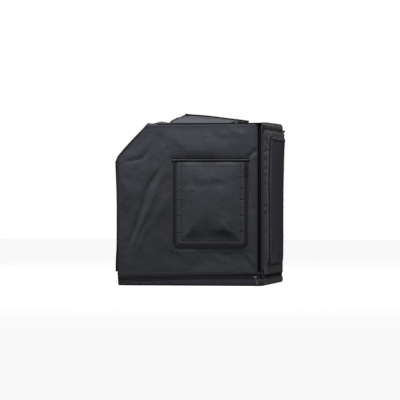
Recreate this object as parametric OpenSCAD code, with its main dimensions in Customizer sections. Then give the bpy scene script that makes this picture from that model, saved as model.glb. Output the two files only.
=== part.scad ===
// Printer enclosure tent: a fabric cover with zipped openings over a tube frame and a base tray.
// +X is the face with the zipped door, -X the sloped viewing face, -Y the side seen in the photo.
// The origin is on the surface that the tent stands on, below the middle of the tray.

/* [Body] */
// Width of the tent from the sloped face to the door face
body_w = 450; // [420:1:600]
// Depth of the tent between its two sides
body_d = 450; // [400:1:600]
// Height of the tent's top panel above the table
body_h = 500; // [480:1:650]
// Horizontal run of the sloped face
slope_run = 98; // [85:1:110]
// Vertical drop of the sloped face
slope_drop = 114; // [100:1:116]
// Thickness of the lined fabric
fabric_t = 1.5; // [1:0.1:2.5]
// Width of the binding along the sewn edges
edge_bind_w = 5; // [3:0.5:7]
// Thickness of the binding along the sewn edges
edge_bind_t = 1.2; // [0.8:0.1:2]
// Radius of the base's upright corners
corner_r = 12; // [8:1:16]

/* [Base] */
// Height of the tray's fabric wall
tray_wall_h = 20; // [20:1:28]
// Thickness of the stiffening board in the tray
board_t = 3; // [2:0.5:6]
// Gap between the board's edge and the tray's wall
board_gap = 0.5; // [0.3:0.1:0.9]

/* [Tube frame] */
// Outside diameter of the frame tubes
tube_d = 16; // [12:1:19]
// Wall of the frame tubes
tube_wall = 1; // [0.6:0.1:2]
// Wall of the connectors' sockets
socket_wall = 3; // [2:0.5:4]
// Length of each socket from the connector's centre
socket_len = 30; // [26:1:45]
// Radial clearance of a tube in its socket
socket_clear = 0.1; // [0.05:0.05:0.3]
// Amount that a connector's round hub stands out past its sockets
hub_extra = 1.2; // [1:0.1:1.6]
// Gap between the frame and the cover's inner face
frame_gap = 0.5; // [0.3:0.1:0.9]

/* [Zippers] */
// Width of one zipper tape
tape_w = 7; // [6:0.5:9]
// Thickness of a zipper tape
tape_t = 0.8; // [0.5:0.1:1]
// Width of one half of the zipper's coil
coil_w = 2.4; // [1.8:0.1:3]
// Height of the coil above its tape
coil_h = 1.6; // [1:0.1:2.5]
// Gap between pieces that move apart
gap = 0.3; // [0.2:0.05:0.5]
// Radius of the corners of the zipped openings
zip_r = 14; // [12:1:20]

/* [Sliders] */
// Length of a slider
slider_l = 11; // [9:0.5:14]
// Thickness of a slider's plate
slider_t = 1.6; // [1.2:0.1:2.5]
// Thickness of the slider's flange beside the coil
flange_t = 1.2; // [0.8:0.1:2]
// Radius of the slider's post that the pull turns on
post_r = 1.3; // [1:0.1:1.6]
// Thickness of the post's head
post_head_t = 0.9; // [0.6:0.1:1.2]
// Radial clearance of the pull's eye on the post
eye_clear = 0.1; // [0.05:0.05:0.2]
// Thickness of a pull
pull_t = 1.2; // [0.8:0.1:2]
// Length of a pull from its eye's centre to its tip
pull_l = 25; // [18:1:25]
// Width of a pull
pull_w = 6.4; // [5.5:0.1:8]
// Lean of the side pull of the base zipper
pull_lean = 20; // [0:1:30]

/* [Door] */
// Width of the frame of fabric above the door
door_top_margin = 17; // [12:1:40]
// Width of the frame of fabric beside and below the door
door_margin = 12; // [11:1:16]
// Height that the door stands out at its middle
door_bulge = 15; // [6:1:20]
// Width of the door's rising border beside the window
door_ramp_v = 55; // [40:1:80]
// Width of the door's rising border above and below the window
door_ramp_u = 33; // [25:1:60]
// Width of the flat hem round the door's window
door_hem = 16; // [12:1:30]
// Depth of the groove beside the door
groove_depth = 3; // [2:0.5:4]
// Width of the groove beside the door
groove_w = 7; // [5:0.5:10]
// Width of the corner bar between the groove and the door's face
corner_bar = 6; // [5:0.5:10]

/* [Side flaps] */
// Width of a side flap between its zippers
flap_w = 223; // [150:1:235]
// Height of a side flap below its hinge seam
flap_h = 261; // [180:1:280]
// Distance of a side flap's middle from the body's middle, towards the door
flap_x = 65.5; // [50:0.5:75]
// Height of a side flap's hinge seam above the table
flap_z = 383; // [350:1:390]
// Height that a side flap stands out at its middle
flap_bulge = 3; // [2:0.5:3]
// Width of a side flap's rising border
flap_ramp = 21; // [15:1:40]

/* [Top flap] */
// Width of the top flap along its hinge
lid_w = 198; // [140:1:220]
// Depth of the top flap from its hinge
lid_d = 330; // [200:1:350]
// Distance of the top flap's middle from the body's middle, towards the door
lid_x = 34; // [30:1:60]
// Distance of the top flap's hinge from the near side
lid_edge = 20; // [15:1:35]
// Lift of the free corner by the sloped face
lid_lift_front = 32; // [10:1:40]
// Lift of the free corner by the door
lid_lift_rear = 10.5; // [5:0.5:25]
// Overlap of the top flap over its opening
lid_overlap = 22; // [18:1:35]
// Width of the top flap's binding
lid_bind_w = 6; // [4:0.5:8]
// Thickness of the top flap's binding
lid_bind_t = 3; // [2.6:0.1:4]

/* [Curtain and windows] */
// Thickness of the curtain
curtain_t = 2; // [1:0.1:3]
// Height of the curtain's lower edge above the table
curtain_z = 43; // [40:1:50]
// Distance of the curtain's edges from the body's sides
curtain_side = 2; // [1:1:20]
// Width of the seam strip that the curtain hangs from
curtain_seam_w = 10; // [6:1:16]
// Border of fabric round the viewing windows
window_border = 42; // [40:1:55]
// Thickness of the window film
film_t = 0.5; // [0.3:0.1:0.8]
// Overlap of the window film behind its border
film_lap = 8; // [6:1:12]
// Length of a hook and loop patch
patch_l = 60; // [40:1:80]
// Width of a hook and loop patch
patch_w = 14; // [10:1:14]
// Thickness of a hook or loop patch
patch_t = 0.8; // [0.5:0.1:1]

/* [Hidden] */
$fn = 48;

// Colours of the materials
fabric_colour = "#34363b";
panel_colour = "#3b3d43";
binding_colour = "#1c1d20";
tape_colour = "#242528";
coil_colour = "#151517";
film_colour = "#20242a";
board_colour = "#2a2b2d";
steel_colour = "#8d9094";
plastic_colour = "#191a1c";
pull_colour = "#55585c";

// Places of the body's faces and of the base zipper
half_w = body_w / 2;
half_d = body_d / 2;
bend_z = body_h - slope_drop;
slope_angle = atan2(slope_drop, slope_run);
slope_len = norm([slope_run, slope_drop]);
zip_z = tray_wall_h + tape_w;
panel_z = zip_z + tape_w;
panel_top = body_h - fabric_t;

// The front outline moved inwards: side from the upright face, top from the slope and the top
function bend_point(side, top) =
    [side - half_w, bend_z - top / cos(slope_angle) + side * tan(slope_angle)];
function slope_point(top) =
    [slope_run - half_w + top * tan(slope_angle / 2), body_h - top];

// Centre lines of the tube frame
tube_r = tube_d / 2;
socket_r = tube_r + socket_clear + socket_wall;
hub_r = socket_r + hub_extra;
frame_side = groove_depth + fabric_t + frame_gap + hub_r;
frame_top = fabric_t + frame_gap + hub_r;
frame_x = half_w - frame_side;
frame_y = half_d - frame_side;
rail_z = fabric_t + board_t + hub_r;
rail_bend = bend_point(frame_side, frame_top);
rail_slope = slope_point(frame_top);
rail_top_z = body_h - frame_top;

// The door's leaf hangs from its far upright edge
door_w = body_h - door_top_margin - door_margin - panel_z;
door_h = body_d - 2 * door_margin;
door_mid_z = panel_z + door_margin + door_w / 2;
door_hinge_y = half_d - door_margin;
bar_x = half_w - corner_bar;
groove_x = bar_x - groove_w;

// Heights in a slider and its pull above the face that they lie on
slider_w = 2 * (coil_w + gap + flange_t);
plate_z = coil_h + gap;
pull_z = plate_z + slider_t + gap;
head_z = pull_z + pull_t + gap;
eye_wall = 1.9;
head_lip = 1.1;
neck_ratio = 0.55;
slider_inset = 20;

// The coil on a leaf starts far enough from the hinge to clear the cover when the leaf opens
coil_start = 2 * coil_h + gap;

// The top flap, whose free edge is lifted most at the corner by the slope
lid_hinge_y = lid_edge - half_d;
lid_z = body_h + gap;
lid_left = lid_x - lid_w / 2;
lid_right = lid_x + lid_w / 2;
lid_far = lid_hinge_y + lid_d;
lid_steps = 8;
function lid_height(x, y) =
    lid_z + (y - lid_hinge_y) / lid_d
        * (lid_lift_front + (lid_lift_rear - lid_lift_front) * (x - lid_left) / lid_w);

// The curtain hangs clear of the hook and loop patches behind it
curtain_gap = 2 * patch_t + gap;
curtain_out = curtain_gap + curtain_t;
curtain_d = body_d - 2 * curtain_side;
patch_spread = body_d / 3;
patch_z = curtain_z + patch_w / 2 + 2;

// ---- Shared shapes ----

// A rectangle about the origin with round corners
module round_rect(w, d, r) {
    square([w - 2 * r, d], center = true);
    square([w, d - 2 * r], center = true);
    for (sx = [-1, 1], sy = [-1, 1]) {
        translate([sx * (w / 2 - r), sy * (d / 2 - r)]) circle(r);
    }
}

// A band of thickness t round the body, whose outer face stands out by grow
module body_ring(z, h, grow, t) {
    translate([0, 0, z]) linear_extrude(h) difference() {
        round_rect(body_w + 2 * grow, body_d + 2 * grow, corner_r + grow);
        round_rect(body_w + 2 * (grow - t), body_d + 2 * (grow - t), corner_r + grow - t);
    }
}

// The outline of a leaf below its hinge line on the X axis, grown on its free sides
module leaf_outline(w, h, grow, start) {
    translate([-w / 2 - grow, zip_r - h]) square([w + 2 * grow, h - zip_r - start]);
    translate([zip_r - w / 2, -h - grow]) square([w - 2 * zip_r, h + grow - start]);
    for (s = [-1, 1]) {
        translate([s * (w / 2 - zip_r), zip_r - h]) circle(zip_r + grow);
    }
}

// A band between two growths of a leaf's outline, which starts below the hinge
module leaf_band(w, h, inner, outer, start) {
    difference() {
        leaf_outline(w, h, outer, start);
        leaf_outline(w, h, inner, -gap);
    }
}

// The half of a zipper that is sewn to the cover
module zip_frame(w, h) {
    color(tape_colour) translate([0, 0, -tape_t]) linear_extrude(tape_t) {
        leaf_band(w, h, gap / 2, tape_w, gap);
    }
    color(coil_colour) linear_extrude(coil_h) leaf_band(w, h, gap / 2, coil_w, gap);
}

// The half of a zipper that is sewn to the leaf
module zip_leaf(w, h) {
    color(tape_colour) translate([0, 0, -tape_t]) linear_extrude(tape_t) {
        leaf_band(w, h, -tape_w, -gap / 2, gap);
    }
    color(coil_colour) linear_extrude(coil_h) {
        leaf_band(w, h, -coil_w, -gap / 2, coil_start);
    }
}

// A leaf's flat middle and its border, moved inwards by inset and down by drop
module leaf_form(w, h, ramp_u, ramp_v, bulge, inset, drop) {
    translate([0, 0, -fabric_t - drop]) linear_extrude(fabric_t) {
        leaf_outline(w, h, -tape_w - inset, gap + inset);
    }
    translate([ramp_u - w / 2, ramp_v - h, bulge - fabric_t - drop]) {
        cube([w - 2 * ramp_u, h - 2 * ramp_v, fabric_t]);
    }
}

// A leaf's fabric: a thin sheet that rises from its border to a flat middle
module leaf_fabric(w, h, ramp_u, ramp_v, bulge) {
    difference() {
        hull() leaf_form(w, h, ramp_u, ramp_v, bulge, 0, 0);
        hull() leaf_form(w, h, ramp_u, ramp_v, bulge, fabric_t, fabric_t);
    }
}

// A slider: its plate over both coils, its flange on the leaf's side and the pull's post
module slider() {
    color(pull_colour) {
        translate([0, 0, plate_z]) linear_extrude(slider_t) {
            round_rect(slider_l, slider_w, flange_t);
        }
        translate([-slider_l / 2 + flange_t, -slider_w / 2, gap]) {
            cube([slider_l - 2 * flange_t, flange_t, plate_z + slider_t / 2 - gap]);
        }
        translate([0, 0, plate_z + slider_t / 2]) cylinder(r = post_r, h = head_z - plate_z);
        translate([0, 0, head_z]) cylinder(r = post_r + head_lip, h = post_head_t);
    }
}

// A pull that hangs from its eye along -Y
module pull() {
    tip_r = pull_w / 2;
    color(pull_colour) translate([0, 0, pull_z]) linear_extrude(pull_t) difference() {
        union() {
            circle(post_r + eye_wall);
            translate([-pull_w * neck_ratio / 2, tip_r - pull_l]) {
                square([pull_w * neck_ratio, pull_l - tip_r - post_r - eye_wall / 2]);
            }
            translate([-tip_r, tip_r - pull_l]) square([pull_w, pull_l * neck_ratio]);
            translate([0, tip_r - pull_l]) circle(tip_r);
        }
        circle(post_r + eye_clear);
    }
}

// ---- Places ----

// Local X along the hinge or the travel, Y up or inwards from the leaf, Z out of the face
module on_near_side(x, z) {
    translate([x, -half_d, z]) rotate([90, 0, 0]) children();
}
module on_far_side(x, z) {
    mirror([0, 1, 0]) on_near_side(x, z) children();
}
module on_rear(y, z) {
    translate([half_w, y, z]) rotate([90, 0, 90]) children();
}
module on_door_hinge() {
    translate([half_w, door_hinge_y, door_mid_z]) rotate([0, 90, 0]) children();
}
module on_slope() {
    translate([-half_w, 0, bend_z]) rotate([0, -slope_angle, 0]) children();
}

// An outline in the XZ plane, made d deep about the XZ plane
module across(points, d) {
    translate([0, d / 2, 0]) rotate([90, 0, 0]) linear_extrude(d) polygon(points);
}

// ---- Base ----

module base_tray() {
    color(fabric_colour) {
        linear_extrude(fabric_t) round_rect(body_w, body_d, corner_r);
        body_ring(fabric_t, tray_wall_h - fabric_t, 0, fabric_t);
    }
}

module base_board() {
    edge = fabric_t + board_gap;
    color(board_colour) translate([0, 0, fabric_t]) linear_extrude(board_t) {
        round_rect(body_w - 2 * edge, body_d - 2 * edge, corner_r - edge);
    }
}

module base_zip_tape_tray() {
    color(tape_colour) body_ring(tray_wall_h, tape_w - gap / 2, 0, tape_t);
}

module base_zip_coil_tray() {
    color(coil_colour) body_ring(zip_z - coil_w, coil_w - gap / 2, coil_h, coil_h);
}

module base_zip_tape_cover() {
    color(tape_colour) body_ring(zip_z + gap / 2, tape_w - gap / 2, 0, tape_t);
}

module base_zip_coil_cover() {
    color(coil_colour) body_ring(zip_z + gap / 2, coil_w - gap / 2, coil_h, coil_h);
}

// ---- Tube frame ----

// Turns the Z axis to a direction
module aim(v) {
    rotate([0, acos(v.z / norm(v)), atan2(v.y, v.x)]) children();
}

// A tube between two connectors' centres, seated in their sockets
module rail(a, b) {
    color(steel_colour) translate(a) aim(b - a) translate([0, 0, socket_r]) difference() {
        cylinder(r = tube_r, h = norm(b - a) - 2 * socket_r);
        translate([0, 0, -1]) {
            cylinder(r = tube_r - tube_wall, h = norm(b - a) - 2 * socket_r + 2);
        }
    }
}

// A connector with a socket along each direction
module connector(centre, directions) {
    color(plastic_colour) translate(centre) difference() {
        union() {
            rotate([90, 0, 0]) cylinder(r = hub_r, h = 2 * hub_r, center = true);
            for (v = directions) aim(v) cylinder(r = socket_r, h = socket_len);
        }
        for (v = directions) {
            aim(v) translate([0, 0, socket_r]) cylinder(r = tube_r + socket_clear, h = socket_len);
        }
    }
}

// The frame's corners on one side: s is -1 on the near side and 1 on the far side
function at_front_low(s) = [-frame_x, s * frame_y, rail_z];
function at_rear_low(s) = [frame_x, s * frame_y, rail_z];
function at_bend(s) = [rail_bend.x, s * frame_y, rail_bend.y];
function at_slope_top(s) = [rail_slope.x, s * frame_y, rail_slope.y];
function at_rear_top(s) = [frame_x, s * frame_y, rail_top_z];

module bottom_side_rails() {
    for (s = [-1, 1]) rail(at_front_low(s), at_rear_low(s));
}

module bottom_cross_rails() {
    rail(at_front_low(-1), at_front_low(1));
    rail(at_rear_low(-1), at_rear_low(1));
}

module front_uprights() {
    for (s = [-1, 1]) rail(at_front_low(s), at_bend(s));
}

module rear_uprights() {
    for (s = [-1, 1]) rail(at_rear_low(s), at_rear_top(s));
}

module slope_rails() {
    for (s = [-1, 1]) rail(at_bend(s), at_slope_top(s));
}

module top_side_rails() {
    for (s = [-1, 1]) rail(at_slope_top(s), at_rear_top(s));
}

module upper_cross_rails() {
    rail(at_bend(-1), at_bend(1));
    rail(at_slope_top(-1), at_slope_top(1));
    rail(at_rear_top(-1), at_rear_top(1));
}

module bottom_connectors() {
    for (s = [-1, 1]) {
        connector(at_front_low(s), [[1, 0, 0], [0, -s, 0], [0, 0, 1]]);
        connector(at_rear_low(s), [[-1, 0, 0], [0, -s, 0], [0, 0, 1]]);
    }
}

module bend_connectors() {
    for (s = [-1, 1]) {
        connector(at_bend(s), [[0, 0, -1], [0, -s, 0], at_slope_top(s) - at_bend(s)]);
    }
}

module slope_top_connectors() {
    for (s = [-1, 1]) {
        connector(at_slope_top(s), [[1, 0, 0], [0, -s, 0], at_bend(s) - at_slope_top(s)]);
    }
}

module rear_top_connectors() {
    for (s = [-1, 1]) {
        connector(at_rear_top(s), [[-1, 0, 0], [0, -s, 0], [0, 0, -1]]);
    }
}

// ---- Cover panels ----

// A side panel with its zipped opening and the fold down into the groove by the door
module side_panel() {
    color(fabric_colour) {
        difference() {
            translate([0, fabric_t, 0]) on_near_side(0, 0) linear_extrude(fabric_t) polygon([
                [fabric_t - half_w, panel_z], bend_point(fabric_t, fabric_t),
                slope_point(fabric_t), [groove_x, panel_top], [groove_x, panel_z]
            ]);
            on_near_side(flap_x, flap_z) translate([0, 0, -2 * fabric_t]) {
                linear_extrude(3 * fabric_t) leaf_outline(flap_w, flap_h, tape_w, 0);
            }
        }
        translate([groove_x - fabric_t, fabric_t - half_d, panel_z]) {
            cube([fabric_t, groove_depth, panel_top - panel_z]);
        }
    }
}

module near_side_panel() {
    side_panel();
}

module far_side_panel() {
    mirror([0, 1, 0]) side_panel();
}

module top_panel() {
    color(fabric_colour) difference() {
        across([
            slope_point(0), [half_w, body_h], [half_w, panel_top], slope_point(fabric_t)
        ], body_d);
        translate([lid_left + lid_overlap, lid_hinge_y + lid_overlap, panel_top - 1]) {
            cube([lid_w - 2 * lid_overlap, lid_d - 2 * lid_overlap, fabric_t + 2]);
        }
    }
}

module slope_panel() {
    color(fabric_colour) difference() {
        across([
            bend_point(0, 0), slope_point(0), slope_point(fabric_t),
            bend_point(fabric_t, fabric_t)
        ], body_d);
        on_slope() translate([window_border, window_border - half_d, -2 * fabric_t]) {
            cube([slope_len - 2 * window_border, body_d - 2 * window_border, 4 * fabric_t]);
        }
    }
}

module front_panel() {
    color(fabric_colour) difference() {
        across([
            [-half_w, panel_z], bend_point(0, 0), bend_point(fabric_t, fabric_t),
            [fabric_t - half_w, panel_z]
        ], body_d);
        translate([-half_w - 1, window_border - half_d, panel_z + window_border]) {
            cube([
                fabric_t + 2, body_d - 2 * window_border,
                bend_z - panel_z - 2 * window_border
            ]);
        }
    }
}

module slope_window() {
    edge = window_border - film_lap;
    color(film_colour) on_slope() translate([edge, edge - half_d, -fabric_t - film_t]) {
        cube([slope_len - 2 * edge, body_d - 2 * edge, film_t]);
    }
}

module front_window() {
    edge = window_border - film_lap;
    color(film_colour) translate([fabric_t - half_w, edge - half_d, panel_z + edge]) {
        cube([film_t, body_d - 2 * edge, bend_z - panel_z - 2 * edge]);
    }
}

// Half of the door's surround in plan: the outer faces from the groove to the corner, and back
surround_floor = groove_depth - half_d;
surround_out = [
    [groove_x, surround_floor + fabric_t], [groove_x, surround_floor], [bar_x, surround_floor],
    [bar_x, -half_d], [half_w, -half_d]
];
surround_in = [
    [half_w - fabric_t, fabric_t - half_d], [bar_x + fabric_t, fabric_t - half_d],
    [bar_x + fabric_t, surround_floor + fabric_t]
];
function other_half(points) = [for (i = [len(points) - 1:-1:0]) [points[i].x, -points[i].y]];

module rear_surround() {
    color(fabric_colour) difference() {
        translate([0, 0, panel_z]) linear_extrude(panel_top - panel_z) polygon(concat(
            surround_out, other_half(surround_out), other_half(surround_in), surround_in
        ));
        on_door_hinge() translate([0, 0, -2 * fabric_t]) linear_extrude(3 * fabric_t) {
            leaf_outline(door_w, door_h, tape_w, 0);
        }
    }
}

// The binding along one side's front, slope and top seams
module edge_binding() {
    out = edge_bind_t;
    into = -edge_bind_w;
    color(binding_colour) on_near_side(0, 0) linear_extrude(edge_bind_t) polygon([
        [-half_w - out, panel_z], bend_point(-out, -out), slope_point(-out),
        [half_w, body_h + out], [half_w, body_h + into], slope_point(-into),
        bend_point(-into, -into), [-half_w - into, panel_z]
    ]);
}

module near_binding() {
    edge_binding();
}

module far_binding() {
    mirror([0, 1, 0]) edge_binding();
}

module door_zip_frame() {
    on_door_hinge() zip_frame(door_w, door_h);
}

module near_flap_zip_frame() {
    on_near_side(flap_x, flap_z) zip_frame(flap_w, flap_h);
}

module far_flap_zip_frame() {
    on_far_side(flap_x, flap_z) zip_frame(flap_w, flap_h);
}

// ---- Door ----

module door_panel() {
    color(panel_colour) on_door_hinge() difference() {
        leaf_fabric(door_w, door_h, door_ramp_u, door_ramp_v, door_bulge);
        translate([
            door_ramp_u + door_hem - door_w / 2, door_ramp_v + door_hem - door_h,
            door_bulge - 2 * fabric_t
        ]) {
            cube([
                door_w - 2 * (door_ramp_u + door_hem),
                door_h - 2 * (door_ramp_v + door_hem), 3 * fabric_t
            ]);
        }
    }
}

module door_window() {
    edge = door_hem - film_lap;
    color(film_colour) on_door_hinge() translate([
        door_ramp_u + edge - door_w / 2, door_ramp_v + edge - door_h,
        door_bulge - fabric_t - film_t
    ]) {
        cube([
            door_w - 2 * (door_ramp_u + edge), door_h - 2 * (door_ramp_v + edge), film_t
        ]);
    }
}

module door_zip_leaf() {
    on_door_hinge() zip_leaf(door_w, door_h);
}

// ---- Side flaps ----

module near_flap_panel() {
    color(panel_colour) on_near_side(flap_x, flap_z) {
        leaf_fabric(flap_w, flap_h, flap_ramp, flap_ramp, flap_bulge);
    }
}

module near_flap_zip_leaf() {
    on_near_side(flap_x, flap_z) zip_leaf(flap_w, flap_h);
}

module far_flap_panel() {
    color(panel_colour) on_far_side(flap_x, flap_z) {
        leaf_fabric(flap_w, flap_h, flap_ramp, flap_ramp, flap_bulge);
    }
}

module far_flap_zip_leaf() {
    on_far_side(flap_x, flap_z) zip_leaf(flap_w, flap_h);
}

// ---- Top flap ----

// Two triangles for each side face between ring i and ring i + 1 of n points
function tube_faces(i, n) = [
    for (j = [0:n - 1])
        let (k = (j + 1) % n)
            each [
                [i * n + j, i * n + n + j, i * n + k],
                [i * n + k, i * n + n + j, i * n + n + k]
            ]
];

// A plate that follows the lifted top flap between two heights above its underside
module lid_plate(x0, x1, y0, y1, low, high) {
    n = lid_steps;
    xs = [for (i = [0:n]) x0 + (x1 - x0) * i / n];
    row = 2 * n + 2;
    points = [
        for (j = [0:n])
            let (y = y0 + (y1 - y0) * j / n)
                each concat(
                    [for (i = [0:n]) [xs[i], y, lid_height(xs[i], y) + high]],
                    [for (i = [0:n]) [xs[n - i], y, lid_height(xs[n - i], y) + low]]
                )
    ];
    cap = [for (i = [0:n - 1]) each [[i, i + 1, row - 2 - i], [i, row - 2 - i, row - 1 - i]]];
    faces = concat(
        cap,
        [for (j = [0:n - 1]) each tube_faces(j, row)],
        [for (f = cap) [f.z + n * row, f.y + n * row, f.x + n * row]]
    );
    polyhedron(points, faces);
}

module lid_panel() {
    color(panel_colour) {
        lid_plate(
            lid_left + lid_bind_w, lid_right - lid_bind_w, lid_hinge_y,
            lid_far - lid_bind_w, 0, fabric_t
        );
    }
}

// The binding runs from the hinge along the door's side, the free edge and back
module lid_binding() {
    n = lid_steps;
    route = concat(
        [for (i = [0:n]) [lid_right, lid_hinge_y + lid_d * i / n]],
        [for (i = [1:n]) [lid_right - lid_w * i / n, lid_far]],
        [for (i = [1:n]) [lid_left, lid_far - lid_d * i / n]]
    );
    inner = [
        for (p = route) [
            max(lid_left + lid_bind_w, min(lid_right - lid_bind_w, p.x)),
            min(lid_far - lid_bind_w, p.y)
        ]
    ];
    rings = len(route);
    points = [
        for (i = [0:rings - 1])
            let (a = route[i], b = inner[i], za = lid_height(a.x, a.y), zb = lid_height(b.x, b.y))
                each [
                    [a.x, a.y, za], [b.x, b.y, zb],
                    [b.x, b.y, zb + lid_bind_t], [a.x, a.y, za + lid_bind_t]
                ]
    ];
    end = 4 * (rings - 1);
    faces = concat(
        [[0, 1, 2], [0, 2, 3]],
        [for (i = [0:rings - 2]) each tube_faces(i, 4)],
        [[end + 2, end + 1, end], [end + 3, end + 2, end]]
    );
    color(binding_colour) polyhedron(points, faces);
}

// Patches near the free edge's two ends, on the top panel and below the flap
patch_far = lid_far - lid_bind_w - 1;
patch_ends = [lid_left + lid_bind_w + 2, lid_right - lid_bind_w - 2 - patch_l];

module lid_hook_patches() {
    color(binding_colour) for (x = patch_ends) {
        translate([x, patch_far - patch_w, body_h]) cube([patch_l, patch_w, patch_t]);
    }
}

module lid_loop_patches() {
    color(binding_colour) for (x = patch_ends) {
        lid_plate(x, x + patch_l, patch_far - patch_w, patch_far, -patch_t - gap, -gap);
    }
}

// ---- Curtain ----

module curtain_seam() {
    color(binding_colour) on_slope() {
        translate([slope_len - curtain_seam_w, -curtain_d / 2, 0]) {
            cube([curtain_seam_w, curtain_d, curtain_gap - gap]);
        }
    }
}

module curtain_upper() {
    bend_out = bend_point(-curtain_out, -curtain_out);
    bend_in = bend_point(-curtain_gap, -curtain_gap);
    along = [cos(slope_angle), sin(slope_angle)];
    out = [-sin(slope_angle), cos(slope_angle)];
    top = [slope_run - half_w, body_h] - gap * along;
    color(panel_colour) across([
        bend_out, top + curtain_out * out, top + curtain_gap * out, bend_in
    ], curtain_d);
}

module curtain_lower() {
    bend_out = bend_point(-curtain_out, -curtain_out);
    bend_in = bend_point(-curtain_gap, -curtain_gap);
    color(panel_colour) across([
        [-half_w - curtain_out, curtain_z], bend_out - [0, gap], bend_in - [0, gap],
        [-half_w - curtain_gap, curtain_z]
    ], curtain_d);
}

module front_patches(x) {
    color(binding_colour) for (i = [-1:1]) {
        translate([x, i * patch_spread - patch_l / 2, patch_z - patch_w / 2]) {
            cube([patch_t, patch_l, patch_w]);
        }
    }
}

module curtain_hook_patches() {
    front_patches(-half_w - patch_t);
}

module curtain_loop_patches() {
    front_patches(-half_w - curtain_gap);
}

// ---- Zipper sliders and pulls ----

module base_side_slider() {
    on_near_side(half_w - slider_inset, zip_z) slider();
}

module base_side_pull() {
    on_near_side(half_w - slider_inset, zip_z) rotate(pull_lean) pull();
}

module base_rear_slider() {
    on_rear(slider_inset - half_d, zip_z) slider();
}

module base_rear_pull() {
    on_rear(slider_inset - half_d, zip_z) pull();
}

module door_slider() {
    on_rear(door_hinge_y - slider_inset, door_mid_z + door_w / 2) slider();
}

module door_pull() {
    on_rear(door_hinge_y - slider_inset, door_mid_z + door_w / 2) rotate(-90) pull();
}

module near_flap_slider() {
    on_near_side(flap_x + flap_w / 2, flap_z - slider_inset) rotate(-90) slider();
}

module near_flap_pull() {
    on_near_side(flap_x + flap_w / 2, flap_z - slider_inset) pull();
}

module far_flap_slider() {
    on_far_side(flap_x + flap_w / 2, flap_z - slider_inset) rotate(-90) slider();
}

module far_flap_pull() {
    on_far_side(flap_x + flap_w / 2, flap_z - slider_inset) pull();
}

// ---- The nodes ----

base_tray();
base_board();
bottom_side_rails();
bottom_cross_rails();
front_uprights();
rear_uprights();
slope_rails();
top_side_rails();
upper_cross_rails();
bottom_connectors();
bend_connectors();
slope_top_connectors();
rear_top_connectors();
base_zip_tape_tray();
base_zip_coil_tray();
near_side_panel();
far_side_panel();
top_panel();
slope_panel();
front_panel();
rear_surround();
slope_window();
front_window();
near_binding();
far_binding();
base_zip_tape_cover();
base_zip_coil_cover();
door_zip_frame();
near_flap_zip_frame();
far_flap_zip_frame();
curtain_seam();
curtain_hook_patches();
lid_hook_patches();
door_panel();
door_window();
door_zip_leaf();
near_flap_panel();
near_flap_zip_leaf();
far_flap_panel();
far_flap_zip_leaf();
lid_panel();
lid_binding();
lid_loop_patches();
curtain_upper();
curtain_lower();
curtain_loop_patches();
base_side_slider();
base_side_pull();
base_rear_slider();
base_rear_pull();
door_slider();
door_pull();
near_flap_slider();
near_flap_pull();
far_flap_slider();
far_flap_pull();
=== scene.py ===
"""Looks of the printer enclosure tent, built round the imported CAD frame. All lengths are in metres."""
import math

import bmesh
import bpy
import numpy as np
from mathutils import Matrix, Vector
from mathutils.bvhtree import BVHTree
from mathutils.geometry import delaunay_2d_cdt
from mathutils.kdtree import KDTree


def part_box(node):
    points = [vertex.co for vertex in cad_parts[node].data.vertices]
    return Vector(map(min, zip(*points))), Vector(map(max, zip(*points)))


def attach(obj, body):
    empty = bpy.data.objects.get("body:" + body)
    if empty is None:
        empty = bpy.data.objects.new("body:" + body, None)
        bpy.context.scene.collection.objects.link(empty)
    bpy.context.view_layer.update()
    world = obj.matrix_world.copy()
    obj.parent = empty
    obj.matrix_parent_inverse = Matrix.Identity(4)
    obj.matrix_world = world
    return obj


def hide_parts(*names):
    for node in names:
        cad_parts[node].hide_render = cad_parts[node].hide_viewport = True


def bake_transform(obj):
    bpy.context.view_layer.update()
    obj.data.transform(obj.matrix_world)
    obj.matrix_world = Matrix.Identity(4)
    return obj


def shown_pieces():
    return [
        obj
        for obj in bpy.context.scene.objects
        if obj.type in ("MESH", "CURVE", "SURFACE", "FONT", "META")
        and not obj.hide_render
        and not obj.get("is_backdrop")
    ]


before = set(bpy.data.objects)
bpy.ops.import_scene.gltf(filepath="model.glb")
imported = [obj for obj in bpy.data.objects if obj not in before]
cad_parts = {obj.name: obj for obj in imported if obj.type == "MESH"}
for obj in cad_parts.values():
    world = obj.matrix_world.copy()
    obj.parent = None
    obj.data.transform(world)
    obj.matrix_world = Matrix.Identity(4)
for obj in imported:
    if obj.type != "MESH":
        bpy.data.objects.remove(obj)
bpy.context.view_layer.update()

MM = 0.001

# ---- Image points: pixels in the photograph's 400 x 400 frame ----

IMAGE_SIZE = (400, 400)
POINTS = {
    "object_left": (115.7, 160.0),
    "object_right": (284.7, 136.0),
    "object_top": (186.0, 113.9),
    "object_bottom": (200.0, 286.0),
    "near_rear_top_corner": (261.3, 122.5),
    "near_rear_foot": (261.3, 285.3),
    "near_front_foot": (118.2, 285.6),
    "far_rear_top_corner": (282.3, 126.3),
    "far_rear_foot": (281.5, 281.3),
    "slope_top_corner": (148.0, 123.6),
    "flap_zip_top_left": (175.3, 160.5),
    "flap_zip_bottom_right": (246.0, 245.0),
    "flap_dent": (207.5, 216.2),
    "flap_fold": (186.0, 185.0),
    "door_zip_corner": (263.0, 129.0),
    "door_window_corner": (269.4, 138.0),
    "top_flap_rear_corner": (249.0, 121.5),
    "curtain_foot": (116.2, 270.5),
    "base_slider": (256.3, 276.3),
    "base_pull_tip": (259.0, 284.8),
}

# ---- Sizes of the frame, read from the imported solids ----

def low(node):
    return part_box(node)[0]


def high(node):
    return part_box(node)[1]


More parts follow.
